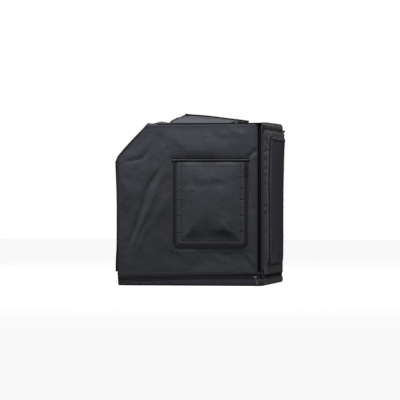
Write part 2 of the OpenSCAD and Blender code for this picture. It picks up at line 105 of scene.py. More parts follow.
HALF_W = high("base_tray").x
HALF_D = high("base_tray").y
TOP_Z = high("top_panel").z
SLOPE_TOP_X = low("top_panel").x
BEND_Z = high("front_panel").z
PANEL_Z = low("near_side_panel").z
GROOVE_X = high("near_side_panel").x
ZIP_Z = (high("base_zip_coil_tray").z + low("base_zip_coil_cover").z) / 2
ZIP_GAP = low("base_zip_coil_cover").z - high("base_zip_coil_tray").z
TAPE_W = high("base_zip_tape_cover").z - ZIP_Z
COIL_W = high("base_zip_coil_cover").z - ZIP_Z
COIL_H = high("base_zip_coil_cover").x - HALF_W
ZIP_R = 14 * MM
CORNER_R = 12 * MM
FLAP_X0 = low("near_flap_zip_leaf").x - ZIP_GAP / 2
FLAP_X1 = high("near_flap_zip_leaf").x + ZIP_GAP / 2
FLAP_Z0 = low("near_flap_zip_leaf").z - ZIP_GAP / 2
FLAP_Z1 = high("near_flap_zip_frame").z + ZIP_GAP
DOOR_Y0 = low("door_zip_leaf").y - ZIP_GAP / 2
DOOR_Y1 = high("door_zip_leaf").y + ZIP_GAP
DOOR_Z0 = low("door_zip_leaf").z - ZIP_GAP / 2
DOOR_Z1 = high("door_zip_leaf").z + ZIP_GAP / 2
WINDOW_Y0, WINDOW_Y1 = low("door_window").y, high("door_window").y
WINDOW_Z0, WINDOW_Z1 = low("door_window").z, high("door_window").z
LID_X0, LID_Y0 = low("lid_binding").x, low("lid_binding").y
LID_X1, LID_Y1 = high("lid_binding").x, high("lid_binding").y
LID_Z = low("lid_binding").z
SLOPE_ANGLE = math.atan2(TOP_Z - BEND_Z, SLOPE_TOP_X + HALF_W)
SLOPE_LENGTH = math.hypot(TOP_Z - BEND_Z, SLOPE_TOP_X + HALF_W)
FABRIC_T = 1.2 * MM

# ---- Camera, aimed from the image points of the body's corners ----

CAMERA_AZIMUTH = 9.733
CAMERA_ELEVATION = 0.05
CAMERA_DISTANCE = 8.6146
CAMERA_LENS = 246.0
SENSOR_WIDTH = 36.0
CAMERA_TARGET = Vector((-0.0051, 0.0, 0.2635))


def add_camera():
    azimuth, elevation = math.radians(CAMERA_AZIMUTH), math.radians(CAMERA_ELEVATION)
    back = Vector((
        math.sin(azimuth) * math.cos(elevation), -math.cos(azimuth) * math.cos(elevation),
        math.sin(elevation),
    ))
    data = bpy.data.cameras.new("camera")
    data.lens = CAMERA_LENS
    data.sensor_width = SENSOR_WIDTH
    data.sensor_fit = "AUTO"
    data.clip_end = 100.0
    camera = bpy.data.objects.new("camera", data)
    bpy.context.scene.collection.objects.link(camera)
    camera.location = CAMERA_TARGET + CAMERA_DISTANCE * back
    camera.rotation_euler = back.to_track_quat("Z", "Y").to_euler()
    bpy.context.scene.camera = camera
    bpy.context.view_layer.update()
    return camera


camera = add_camera()


def to_pixel(point):
    """Where a point shows in the photograph's frame."""
    local = camera.matrix_world.inverted() @ Vector(point)
    scale = max(IMAGE_SIZE) * camera.data.lens / camera.data.sensor_width / -local.z
    return (
        IMAGE_SIZE[0] / 2 - camera.data.shift_x * max(IMAGE_SIZE) + local.x * scale,
        IMAGE_SIZE[1] / 2 + camera.data.shift_y * max(IMAGE_SIZE) - local.y * scale,
    )


def place(name, carrier):
    """The place on a carrier, and its normal, that an image point's ray meets or passes nearest."""
    x, y = POINTS[name]
    size = max(IMAGE_SIZE)
    ray = Vector((
        x - IMAGE_SIZE[0] / 2 + camera.data.shift_x * size,
        IMAGE_SIZE[1] / 2 - y + camera.data.shift_y * size,
        -size * camera.data.lens / camera.data.sensor_width,
    ))
    start = camera.matrix_world.translation
    ray = (camera.matrix_world.to_3x3() @ ray).normalized()
    hit, normal, _, _ = carrier.ray_cast(start, ray)
    if hit is None:
        near = [carrier.find_nearest(start + ray * CAMERA_DISTANCE * s) for s in (0.97, 1.0, 1.03)]
        hit, normal, _, _ = min(near, key=lambda found: found[3])
    return hit, normal


def on_side(name, node):
    """The x and z where an image point's ray meets a side leaf or panel."""
    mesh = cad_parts[node].data
    solid = BVHTree.FromPolygons([v.co for v in mesh.vertices], [tuple(p.vertices) for p in mesh.polygons])
    hit, _ = place(name, solid)
    return hit.x, hit.z


# ---- Noise and folds, as heights in metres over arrays of places ----

def noise(u, v, size, seed):
    """Smooth noise from -1 to 1 with features about size across."""
    table = np.random.RandomState(seed).uniform(-1, 1, (64, 64))
    a, b = np.asarray(u) / size + 1000.0, np.asarray(v) / size + 1000.0
    i, j = np.floor(a).astype(int), np.floor(b).astype(int)
    s, t = a - i, b - j
    s, t = s * s * (3 - 2 * s), t * t * (3 - 2 * t)
    value = 0.0
    for di, ws in ((0, 1 - s), (1, s)):
        for dj, wt in ((0, 1 - t), (1, t)):
            value = value + ws * wt * table[(i + di) % 64, (j + dj) % 64]
    return value


def smooth(x, low_edge, high_edge):
    """0 below the low edge, 1 above the high one and smooth between them."""
    t = np.clip((np.asarray(x, float) - low_edge) / (high_edge - low_edge), 0, 1)
    return t * t * (3 - 2 * t)


def falls(x, start, end):
    """1 below the start, 0 above the end and smooth between them."""
    return smooth(-np.asarray(x, float), -end, -start)


def inside(u, v, box, border):
    """1 in the middle of a box (u0, v0, u1, v1), falling to 0 over its border."""
    return (
        smooth(u, box[0], box[0] + border) * falls(u, box[2] - border, box[2])
        * smooth(v, box[1], box[1] + border) * falls(v, box[3] - border, box[3])
    )


def from_line(u, v, line):
    """Distance to a polyline, positive on its left, and the share of its length at the nearest place."""
    line = np.asarray(line, float)
    steps = np.diff(line, axis=0)
    lengths = np.hypot(steps[:, 0], steps[:, 1])
    starts = np.concatenate([[0], np.cumsum(lengths)])
    best = np.full(np.shape(u), np.inf)
    share = np.zeros(np.shape(u))
    side = np.ones(np.shape(u))
    for k, (du, dv) in enumerate(steps):
        pu, pv = u - line[k, 0], v - line[k, 1]
        t = np.clip((pu * du + pv * dv) / lengths[k] ** 2, 0, 1)
        distance = np.hypot(pu - t * du, pv - t * dv)
        nearer = distance < best
        best = np.where(nearer, distance, best)
        share = np.where(nearer, (starts[k] + t * lengths[k]) / starts[-1], share)
        side = np.where(nearer, np.sign(du * pv - dv * pu), side)
    return best * side, share


def fold(u, v, line, depth, width, crisp=0.4, fade=0.3):
    """A ridge, or with a negative depth a valley, along a line in millimetres."""
    distance, share = from_line(u, v, np.asarray(line) * MM)
    distance = np.abs(distance) / (width * MM)
    shape = crisp * np.exp(-distance) + (1 - crisp) * np.exp(-distance ** 2)
    ends = smooth(share, -0.02, fade) * smooth(1 - share, -0.02, fade)
    return depth * MM * shape * ends


# ---- Flat frames of the faces ----

class Face:
    """A flat frame: u and v run over the face, h stands out of it."""

    def __init__(self, origin, u, v, n):
        self.origin, self.u, self.v, self.n = (np.asarray(x, float) for x in (origin, u, v, n))
        self.mirrored = np.dot(np.cross(self.u, self.v), self.n) < 0

    def lift(self, u, v, h=0.0):
        u, v, h = np.broadcast_arrays(np.asarray(u, float), v, h)
        return self.origin + u[..., None] * self.u + v[..., None] * self.v + h[..., None] * self.n

    def along(self, line, height=0.0):
        """Places along a line of u and v, lifted by a height or by a function of u and v."""
        u, v = line[:, 0], line[:, 1]
        return self.lift(u, v, height(u, v) if callable(height) else height)


X_AXIS, Y_AXIS, Z_AXIS = np.eye(3)
UP_SLOPE = np.array([math.cos(SLOPE_ANGLE), 0, math.sin(SLOPE_ANGLE)])
OFF_SLOPE = np.array([-math.sin(SLOPE_ANGLE), 0, math.cos(SLOPE_ANGLE)])
FACES = {
    "near": Face((0, -HALF_D, 0), X_AXIS, Z_AXIS, -Y_AXIS),
    "far": Face((0, HALF_D, 0), X_AXIS, Z_AXIS, Y_AXIS),
    "rear": Face((HALF_W, 0, 0), Y_AXIS, Z_AXIS, X_AXIS),
    "front": Face((-HALF_W, 0, 0), -Y_AXIS, Z_AXIS, -X_AXIS),
    "top": Face((0, 0, TOP_Z), X_AXIS, Y_AXIS, Z_AXIS),
    "slope": Face((-HALF_W, 0, BEND_Z), -Y_AXIS, UP_SLOPE, OFF_SLOPE),
}

# ---- Outlines ----

def spaced(points, step, closed=False):
    """A polyline's own points with more between them, no further apart than step."""
    points = [np.asarray(p, float) for p in points]
    pairs = zip(points, points[1:] + points[:1] if closed else points[1:])
    out = []
    for a, b in pairs:
        count = max(1, math.ceil(np.linalg.norm(b - a) / step))
        out += [a + (b - a) * i / count for i in range(count)]
    if not closed:
        out.append(points[-1])
    return np.array(out)


def rounded(corners, radii, closed=False, per_corner=7):
    """A polyline whose corners are arcs; radii is one radius, or one for each corner."""
    corners = [np.asarray(c, float) for c in corners]
    count = len(corners)
    radii = [radii] * count if np.isscalar(radii) else radii
    out = []
    for i, corner in enumerate(corners):
        if radii[i] <= 0 or (not closed and i in (0, count - 1)):
            out.append(corner)
            continue
        a = corners[i - 1] - corner
        b = corners[(i + 1) % count] - corner
        a, b = a / np.linalg.norm(a), b / np.linalg.norm(b)
        half = math.acos(np.clip(np.dot(a, b), -1, 1)) / 2
        middle = (a + b) / np.linalg.norm(a + b)
        centre = corner + middle * radii[i] / math.sin(half)
        start, end = corner + a * radii[i] / math.tan(half), corner + b * radii[i] / math.tan(half)
        for k in range(per_corner):
            t = k / (per_corner - 1)
            spoke = (1 - t) * (start - centre) + t * (end - centre)
            out.append(centre + spoke / np.linalg.norm(spoke) * radii[i])
    return np.array(out)


def grown(box, by):
    """A box (u0, v0, u1, v1) made larger on every side."""
    return box[0] - by, box[1] - by, box[2] + by, box[3] + by


def box_outline(u0, v0, u1, v1, radius=0.0):
    return rounded([(u0, v0), (u1, v0), (u1, v1), (u0, v1)], radius, closed=True)


def leaf_line(u0, u1, v0, v1, grow, hinge, closed=False):
    """The free sides of a zipped leaf, grown outwards, from one end of its hinge to the other."""
    r = ZIP_R + grow
    if hinge == "top":
        corners = [(u0 - grow, v1), (u0 - grow, v0 - grow), (u1 + grow, v0 - grow), (u1 + grow, v1)]
    else:
        corners = [(u1, v1 + grow), (u0 - grow, v1 + grow), (u0 - grow, v0 - grow), (u1, v0 - grow)]
    radii = [0, r, r, 0]
    return rounded(corners, radii, closed)


def flap_line(grow, closed=False):
    return leaf_line(FLAP_X0, FLAP_X1, FLAP_Z0, FLAP_Z1, grow, "top", closed)


def door_line(grow, closed=False):
    return leaf_line(DOOR_Y0, DOOR_Y1, DOOR_Z0, DOOR_Z1, grow, "side", closed)


# ---- Meshes ----

def new_object(name, verts, faces):
    mesh = bpy.data.meshes.new(name)
    mesh.from_pydata([tuple(v) for v in verts], [], [tuple(f) for f in faces])
    mesh.validate()
    mesh.update()
    obj = bpy.data.objects.new(name, mesh)
    bpy.context.scene.collection.objects.link(obj)
    mesh.shade_smooth()
    return obj


def in_polygon(points, polygon):
    """Which points lie inside a polygon, by crossing counts."""
    x, y = points[:, 0], points[:, 1]
    result = np.zeros(len(points), bool)
    for (x0, y0), (x1, y1) in zip(polygon, np.roll(polygon, -1, axis=0)):
        if y0 == y1:
            continue
        crosses = (y0 > y) != (y1 > y)
        result ^= crosses & (x < (x1 - x0) * (y - y0) / (y1 - y0) + x0)
    return result


def flat_mesh(outline, holes, step):
    """Triangles that fill an outline round its holes, about step across."""
    loops = [spaced(loop, step, closed=True) for loop in [outline, *holes]]
    lo, hi = loops[0].min(0), loops[0].max(0)
    rows = np.arange(lo[1] + step / 2, hi[1], step * math.sqrt(3) / 2)
    grid = np.array([
        (x, y) for j, y in enumerate(rows)
        for x in np.arange(lo[0] + (0.25 + 0.5 * (j % 2)) * step, hi[0], step)
    ])
    keep = in_polygon(grid, loops[0])
    for hole in loops[1:]:
        keep &= ~in_polygon(grid, hole)
    grid = grid[keep]
    for loop in loops:
        apart = np.full(len(grid), np.inf)
        for p in loop:
            apart = np.minimum(apart, np.hypot(grid[:, 0] - p[0], grid[:, 1] - p[1]))
        grid = grid[apart > 0.6 * step]
    points = np.concatenate([*loops, grid])
    edges, start = [], 0
    for loop in loops:
        edges += [(start + i, start + (i + 1) % len(loop)) for i in range(len(loop))]
        start += len(loop)
    verts, _, tris, _, _, _ = delaunay_2d_cdt([Vector(p) for p in points], edges, [], 1, 1e-7)
    verts, tris = np.array(verts), np.array(tris)
    middles = verts[tris].mean(1)
    keep = in_polygon(middles, loops[0])
    for hole in loops[1:]:
        keep &= ~in_polygon(middles, hole)
    tris = tris[keep]
    a, b, c = (verts[tris[:, k]] for k in range(3))
    turn = (b[:, 0] - a[:, 0]) * (c[:, 1] - a[:, 1]) - (b[:, 1] - a[:, 1]) * (c[:, 0] - a[:, 0])
    tris[turn < 0] = tris[turn < 0][:, ::-1]
    return verts, tris


def thicken(obj, thickness, offset=-1.0):
    solid = obj.modifiers.new("thickness", "SOLIDIFY")
    solid.thickness = thickness
    solid.offset = offset
    solid.use_quality_normals = True
    normals = obj.modifiers.new("normals", "WEIGHTED_NORMAL")
    normals.keep_sharp = True
    return obj


def sheet(name, face, outline, holes, height, step, thickness=FABRIC_T):
    """A sheet of fabric over a face. height gives how far it stands out at arrays of u and v."""
    uv, tris = flat_mesh(outline, holes, step)
    verts = face.lift(uv[:, 0], uv[:, 1], height(uv[:, 0], uv[:, 1]))
    if face.mirrored:
        tris = tris[:, ::-1]
    return thicken(new_object(name, verts, tris), thickness)


def tangents(path, closed):
    if closed:
        t = np.roll(path, -1, axis=0) - np.roll(path, 1, axis=0)
    else:
        t = np.gradient(path, axis=0)
    return t / np.linalg.norm(t, axis=1)[:, None]


def sweep(name, path, normals, section, closed=False, scale=None):
    """Sweeps a closed section of (side, up) points along a path, with caps on open ends."""
    path, section = np.asarray(path, float), np.asarray(section, float)
    normals = np.broadcast_to(np.asarray(normals, float), path.shape)
    along = tangents(path, closed)
    side = np.cross(along, normals)
    side /= np.linalg.norm(side, axis=1)[:, None]
    up = np.cross(side, along)
    scale = np.ones(len(path)) if scale is None else scale
    rings = (
        path[:, None, :] + side[:, None, :] * section[None, :, :1]
        + up[:, None, :] * section[None, :, 1:] * scale[:, None, None]
    )
    n, m = len(path), len(section)
    last = n if closed else n - 1
    area = np.sum(
        section[:, 0] * np.roll(section[:, 1], -1) - section[:, 1] * np.roll(section[:, 0], -1)
    )
    faces = []
    for i in range(last):
        a, b = i * m, (i + 1) % n * m
        for k in range(m):
            q = (k + 1) % m
            quad = (a + k, a + q, b + q, b + k)
            faces.append(quad if area > 0 else quad[::-1])
    if not closed:
        cap = tuple(range(m))
        end = tuple((n - 1) * m + k for k in range(m))
        faces += [cap[::-1], end] if area > 0 else [cap, end[::-1]]
    return new_object(name, rings.reshape(-1, 3), faces)


def band_section(width, height, roundness=0.5, sunk=0.0):
    """A flat band with round shoulders, width across, standing from -sunk to height."""
    half = width / 2
    shoulder = min(height * roundness, half * 0.8)
    return [
        (-half, -sunk), (half, -sunk), (half, height - shoulder),
        (half - 0.3 * shoulder, height - 0.3 * shoulder), (half - shoulder, height),
        (-half + shoulder, height), (-half + 0.3 * shoulder, height - 0.3 * shoulder),
        (-half, height - shoulder),
    ]


def wrap_section(width, height):
    """A tape folded round an edge: an oval as wide as the tape shows."""
    half, up = width / 2, height / 2
    return [
        (-half, -0.5 * up), (-0.8 * half, -up), (0.8 * half, -up), (half, -0.5 * up),
        (half, 0.5 * up), (0.8 * half, up), (-0.8 * half, up), (-half, 0.5 * up),
    ]


def join(name, objects):
    """One object from several, modifiers applied."""
    bpy.context.view_layer.update()
    graph = bpy.context.evaluated_depsgraph_get()
    verts, faces, start = [], [], 0
    for obj in objects:
        mesh = obj.evaluated_get(graph).to_mesh()
        verts += [tuple(obj.matrix_world @ v.co) for v in mesh.vertices]
        faces += [tuple(start + i for i in p.vertices) for p in mesh.polygons]
        start += len(mesh.vertices)
        obj.evaluated_get(graph).to_mesh_clear()
    for obj in objects:
        bpy.data.objects.remove(obj)
    return new_object(name, verts, faces)


def stitches(name, path, normals, length=3.2 * MM, gap=1.3 * MM, width=0.7 * MM, height=0.35 * MM):
    """A row of lockstitches along a path: one small pointed thread loop for each."""
    path = np.asarray(path, float)
    normals = np.broadcast_to(np.asarray(normals, float), path.shape)
    steps = np.linalg.norm(np.diff(path, axis=0), axis=1)
    run = np.concatenate([[0], np.cumsum(steps)])
    middles = np.arange((length + gap) / 2, run[-1] - length / 2, length + gap)

    def at(s, values):
        return np.stack([np.interp(s, run, values[:, k]) for k in range(3)], axis=1)

    centre, normal = at(middles, path), at(middles, normals)
    along = at(middles + length / 2, path) - at(middles - length / 2, path)
    along /= np.linalg.norm(along, axis=1)[:, None]
    side = np.cross(along, normal)
    ring = [
        (-0.5, 0, 0), (-0.32, 0.5, 0.4), (0.32, 0.5, 0.4), (0.5, 0, 0), (0.32, -0.5, 0.4),
        (-0.32, -0.5, 0.4), (-0.25, 0, 1), (0.25, 0, 1),
    ]
    verts = np.concatenate([
        centre[:, None, :] + along[:, None, :] * a * length + side[:, None, :] * b * width
        + normal[:, None, :] * c * height
        for a, b, c in ring
    ], axis=1)
    shape = [
        (0, 6, 1), (1, 6, 7, 2), (2, 7, 3), (3, 7, 4), (4, 7, 6, 5), (5, 6, 0), (0, 1, 2, 3, 4, 5),
    ]
    faces = [tuple(8 * i + k for k in face[::-1]) for i in range(len(centre)) for face in shape]
    return new_object(name, verts.reshape(-1, 3), faces)


# ---- Materials ----

FABRIC = (0.0335, 0.0352, 0.042)
FLAP_FABRIC = (0.0345, 0.0364, 0.0435)
BINDING = (0.0075, 0.0077, 0.0088)
TAPE = (0.026, 0.0265, 0.028)
COIL = (0.014, 0.0143, 0.0155)
METAL = (0.085, 0.088, 0.096)
LACQUER = (0.012, 0.0122, 0.0135)
BASE_TAPE = (0.027, 0.0275, 0.0295)
EDGE_CLOTH = (0.02, 0.0205, 0.0235)
FILM = (0.038, 0.041, 0.051)
# The side cloth's colour painted lighter for the rear face: painted light on the face that the lamps reach least.
REAR_FABRIC_PAINTED_LIGHT = (0.047, 0.0495, 0.059)
THREAD = (0.006, 0.0062, 0.007)
# Near-black: the colour of the black bindings, and also painted shadow where dark strips stand in for shade in seams
# and grooves.
SHADE_AND_BINDING_BLACK = (0.0035, 0.0036, 0.004)


class Nodes:
    """Short names for building a material's node tree."""

    def __init__(self, name):
        self.material = bpy.data.materials.new(name)
        self.material.use_nodes = True
        self.tree = self.material.node_tree
        self.shader = self.tree.nodes["Principled BSDF"]
        self.place = self.add("ShaderNodeTexCoord").outputs["Object"]

    def add(self, kind, inputs=None, **options):
        node = self.tree.nodes.new(kind)
        for key, value in options.items():
            setattr(node, key, value)
        for key, value in (inputs or {}).items():
            self.put(node.inputs[key], value)
        return node

    def put(self, socket, value):
        if isinstance(value, bpy.types.NodeSocket):
            self.tree.links.new(value, socket)
        else:
            socket.default_value = value

    def math(self, operation, a, b=0.0, c=0.0):
        node = self.add("ShaderNodeMath", operation=operation)
        for socket, value in zip(node.inputs, (a, b, c)):
            self.put(socket, value)
        return node.outputs[0]

    def noise(self, scale, detail=2.0, rough=0.5, place=None):
        return self.add("ShaderNodeTexNoise", {
            "Vector": place or self.place, "Scale": scale, "Detail": detail, "Roughness": rough,
        }).outputs["Fac"]

    def spread(self, value, low_out, high_out, low_in=0.3, high_in=0.7):
        return self.add("ShaderNodeMapRange", {
            "Value": value, "From Min": low_in, "From Max": high_in,
            "To Min": low_out, "To Max": high_out,
        }).outputs["Result"]

    def tint(self, colour, factor):
        """The colour times a varying factor."""
        return self.add("ShaderNodeVectorMath", {0: colour, "Scale": factor}, operation="SCALE").outputs[0]

    def bump(self, height, distance, strength=1.0, normal=None):
        node = self.add("ShaderNodeBump", {"Height": height, "Distance": distance, "Strength": strength})
        if normal is not None:
            self.put(node.inputs["Normal"], normal)
        return node.outputs["Normal"]

    def finish(self, **values):
        for key, value in values.items():
            self.put(self.shader.inputs[key.replace("_", " ")], value)
        return self.material


def turned(nodes, face):
    """Object coordinates with a face's u and v as X and Y."""
    parts = [
        nodes.add("ShaderNodeVectorMath", {0: nodes.place, 1: tuple(axis)}, operation="DOT_PRODUCT")
        for axis in (face.u, face.v, face.n)
    ]
    return nodes.add("ShaderNodeCombineXYZ", dict(zip("XYZ", (p.outputs["Value"] for p in parts))))


def weave_height(nodes, place, pitch):
    """A plain weave: threads along two directions that pass over and under."""
    parts = nodes.add("ShaderNodeSeparateXYZ", {0: place})
    turn = math.pi / pitch
    warp = nodes.math("SINE", nodes.math("MULTIPLY", parts.outputs["X"], turn))
    weft = nodes.math("SINE", nodes.math("MULTIPLY", parts.outputs["Y"], turn))
    return nodes.math("MULTIPLY_ADD", nodes.math("MULTIPLY", warp, weft), 0.5, 0.5)


def fabric(name, colour, face, pitch=0.55 * MM, sheen=0.06, level=0.09, rough=0.55):
    """Coated oxford cloth: weave, faint slubs, and cloudy variation of colour and gloss."""
    nodes = Nodes(name)
    place = turned(nodes, face).outputs[0]
    weave = weave_height(nodes, place, pitch)
    stretched = nodes.add("ShaderNodeMapping", {"Vector": place, "Scale": (1.0, 14.0, 1.0)})
    slubs = nodes.noise(90.0, 2.0, 0.5, stretched.outputs[0])
    clouds = nodes.noise(9.0, 3.0, 0.55)
    grain = nodes.noise(1500.0, 2.0)
    crumple = nodes.noise(46.0, 4.0, 0.62)
    shade = nodes.math("ADD", nodes.spread(clouds, 0.88, 1.1), nodes.spread(slubs, -0.05, 0.05))
    shade = nodes.math("ADD", shade, nodes.spread(weave, -0.06, 0.05, 0.0, 1.0))
    shade = nodes.math("ADD", shade, nodes.spread(nodes.noise(210.0, 1.0), -0.09, 0.09))
    height = nodes.math("ADD", weave, nodes.math("MULTIPLY", grain, 0.35))
    height = nodes.math("ADD", height, nodes.math("MULTIPLY", slubs, 0.6))
    return nodes.finish(
        Base_Color=nodes.tint(colour, shade), Roughness=nodes.spread(clouds, rough - 0.05, rough + 0.07),
        Specular_IOR_Level=level, Sheen_Weight=sheen, Sheen_Roughness=0.5,
        Normal=nodes.bump(height, 0.06 * MM, 0.55, nodes.bump(crumple, 2.2 * MM, 0.7)),
    )


def webbing(name, colour, sheen=0.02, level=0.07):
    """Woven tape or binding with a fine rib."""
    nodes = Nodes(name)
    ribs = nodes.add("ShaderNodeTexVoronoi", {"Vector": nodes.place, "Scale": 1600.0}).outputs["Distance"]
    clouds = nodes.noise(30.0, 2.0)
    shade = nodes.math("ADD", nodes.spread(clouds, 0.88, 1.1), nodes.spread(ribs, -0.1, 0.1, 0.0, 1.0))
    return nodes.finish(
        Base_Color=nodes.tint(colour, shade), Roughness=nodes.spread(clouds, 0.6, 0.72),
        Specular_IOR_Level=level, Sheen_Weight=sheen,
        Normal=nodes.bump(ribs, 0.08 * MM, 0.5),
    )


def nylon(name, colour):
    nodes = Nodes(name)
    grain = nodes.noise(700.0, 2.0)
    return nodes.finish(
        Base_Color=nodes.tint(colour, nodes.spread(grain, 0.85, 1.15)),
        Roughness=nodes.spread(grain, 0.6, 0.75), Specular_IOR_Level=0.08,
        Normal=nodes.bump(grain, 0.02 * MM, 0.4),
    )


def metal(name, colour, rough, scratch_scale=(1.0, 1.0, 1.0)):
    """Plated metal with worn patches and fine scratches."""
    nodes = Nodes(name)
    place = nodes.add("ShaderNodeMapping", {"Vector": nodes.place, "Scale": scratch_scale}).outputs[0]
    wear = nodes.noise(260.0, 3.0)
    lines = nodes.noise(1200.0, 3.0, 0.6, place)
    return nodes.finish(
        Base_Color=nodes.tint(colour, nodes.spread(wear, 0.8, 1.12)), Metallic=0.9,
        Roughness=nodes.spread(lines, rough - 0.08, rough + 0.1),
        Normal=nodes.bump(lines, 0.02 * MM, 0.35),
    )


def film(name):
    """Smoked soft film: half matt, faintly wavy and hardly clear."""
    nodes = Nodes(name)
    waves = nodes.noise(14.0, 2.0)
    dust = nodes.noise(900.0, 2.0)
    return nodes.finish(
        Base_Color=nodes.tint(FILM, nodes.spread(dust, 0.9, 1.15)),
        Roughness=nodes.spread(waves, 0.36, 0.5), Specular_IOR_Level=0.22, Alpha=0.9,
        Normal=nodes.bump(waves, 1.5 * MM, 0.25),
    )


def moulded(name, colour):
    nodes = Nodes(name)
    grain = nodes.noise(900.0, 3.0)
    clouds = nodes.noise(35.0, 2.0)
    return nodes.finish(
        Base_Color=nodes.tint(colour, nodes.spread(clouds, 0.9, 1.1)),
        Roughness=nodes.spread(grain, 0.42, 0.6), Specular_IOR_Level=0.4,
        Normal=nodes.bump(grain, 0.05 * MM, 0.5),
    )


def hook_pile(name, colour):
    """The rough pile of hook and loop tape."""
    nodes = Nodes(name)
    pile = nodes.add("ShaderNodeTexVoronoi", {"Vector": nodes.place, "Scale": 900.0}).outputs["Distance"]
    return nodes.finish(
        Base_Color=nodes.tint(colour, nodes.spread(pile, 0.7, 1.3, 0.0, 1.0)), Roughness=0.9,
        Specular_IOR_Level=0.1, Sheen_Weight=0.3, Normal=nodes.bump(pile, 0.4 * MM, 0.8),
    )


FABRICS = {key: fabric(f"oxford_{key}", FABRIC, FACES[key]) for key in ("near", "far", "front", "slope")}
FLAP_FABRICS = {
    key: fabric(f"oxford_flap_{key}", FLAP_FABRIC, FACES[key]) for key in ("near", "far", "front")
}
FABRICS["top"] = FLAP_FABRICS["top"] = fabric("oxford_top", FABRIC, FACES["top"], sheen=0.0, level=0.03)
# The door, its surround and its foot welt use this lighter copy of the cloth, which is painted light.
FABRICS["rear"] = FLAP_FABRICS["rear"] = fabric("oxford_rear", REAR_FABRIC_PAINTED_LIGHT, FACES["rear"])
BINDING_CLOTH = webbing("binding_cloth", BINDING)
EDGE_TAPE = webbing("edge_tape_cloth", EDGE_CLOTH)
BASE_ZIP_TAPE = webbing("base_zipper_tape_cloth", BASE_TAPE)
BASE_ZIP_COIL = nylon("base_zipper_coil_nylon", EDGE_CLOTH)
# Near-black cloth for the lid's and top edges' bindings, and for strips of painted shadow under the hem, beside the
# flap's welt, in the groove beside the door and round the door's window.
SHADE_AND_BINDING_CLOTH = webbing("seam_cloth", SHADE_AND_BINDING_BLACK, 0.0, 0.03)
ZIP_TAPE = webbing("zipper_tape_cloth", TAPE)
ZIP_COIL = nylon("zipper_coil_nylon", COIL)
ZIP_METAL = metal("gunmetal", METAL, 0.5)
LACQUERED = metal("black_lacquer", LACQUER, 0.5)
TUBE_STEEL = metal("plated_tube", (0.46, 0.47, 0.49), 0.3)
PLASTIC = moulded("moulded_black", (0.022, 0.022, 0.024))
BOARD = moulded("stiff_board", (0.05, 0.05, 0.053))
WINDOW_FILM = film("smoked_film")
HOOKS = hook_pile("hook_tape", BINDING)
STITCH_THREAD = nylon("stitch_thread", THREAD)


def paint(obj, material):
    obj.data.materials.clear()
    obj.data.materials.append(material)
    return obj


def fit_out(obj, material, body, slot, *nodes):
    """Gives a piece its material and its body, and hides the CAD nodes that it stands for. The slot is not used."""
    paint(obj, material)
    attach(obj, body)
    if nodes:
        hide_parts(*nodes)
    return obj


# ---- Side panels, with the folds that the photograph shows ----

FLAP_TOP = 381.6 * MM
FLAP_BOX = (FLAP_X0 - TAPE_W, FLAP_Z0 - TAPE_W, FLAP_X1 + TAPE_W, FLAP_Z1)
SIDE_FOLDS = [
    # line in mm on the side face, depth, width, crispness
    (
        [(-72, 386), (-112, 330), (-131, 300), (-147, 246), (-163, 194), (-187, 118), (-198, 70)],
        -5.2, 8.0, 0.4,
    ),
    (
        [(-60, 366), (-88, 332), (-104, 300), (-120, 250), (-152, 186), (-180, 128), (-204, 62)],
        3.8, 9.0, 0.2,
    ),
    ([(-70, 300), (-88, 232), (-131, 170), (-162, 112), (-176, 70)], 3.0, 12.0, 0.1),
    ([(-100, 236), (-116, 190), (-150, 120)], -2.2, 9.0, 0.1),
    ([(-212, 377), (-190, 382), (-148, 391), (-136, 404), (-122, 434)], -2.8, 7.0, 0.4),
    ([(-206, 392), (-180, 400), (-152, 412), (-142, 440)], 1.4, 12.0, 0.1),
    ([(-150, 440), (-128, 462), (-96, 478)], -0.9, 9.0, 0.2),
    ([(-104, 470), (-84, 448), (-66, 430)], -0.8, 7.0, 0.2),
    ([(-76, 426), (-68, 417), (-62, 428)], -1.6, 3.0, 0.5),
    ([(-60, 470), (-30, 440), (-10, 420)], 1.4, 12.0, 0.1),
    ([(60, 478), (90, 452), (140, 444)], -1.6, 11.0, 0.1),
    ([(120, 488), (150, 470), (190, 462)], 1.6, 10.0, 0.1),
    ([(176, 388), (194, 404), (212, 422)], -3.8, 6.0, 0.5),
    ([(188, 382), (202, 396), (212, 406)], 1.3, 6.0, 0.2),
    ([(184, 340), (196, 318), (206, 300)], 1.2, 7.0, 0.2),
    ([(188, 244), (200, 236), (212, 238)], -1.6, 5.0, 0.3),
    ([(170, 96), (182, 76), (198, 50)], -1.8, 4.5, 0.5),
    ([(178, 102), (192, 80), (206, 56)], 2.0, 5.0, 0.3),
    ([(100, 112), (118, 103), (134, 108)], 1.8, 4.0, 0.4),
    ([(60, 104), (90, 84), (140, 70)], 1.3, 9.0, 0.1),
    ([(-66, 120), (-40, 104), (-14, 96)], 1.6, 7.0, 0.3),
    ([(-40, 80), (0, 64), (50, 60)], -1.3, 10.0, 0.1),
    ([(-212, 330), (-196, 300), (-190, 262)], 1.6, 10.0, 0.1),
    ([(-216, 250), (-200, 214), (-204, 176)], -1.5, 10.0, 0.1),
    ([(-70, 350), (-62, 310), (-66, 270)], -1.6, 8.0, 0.1),
]


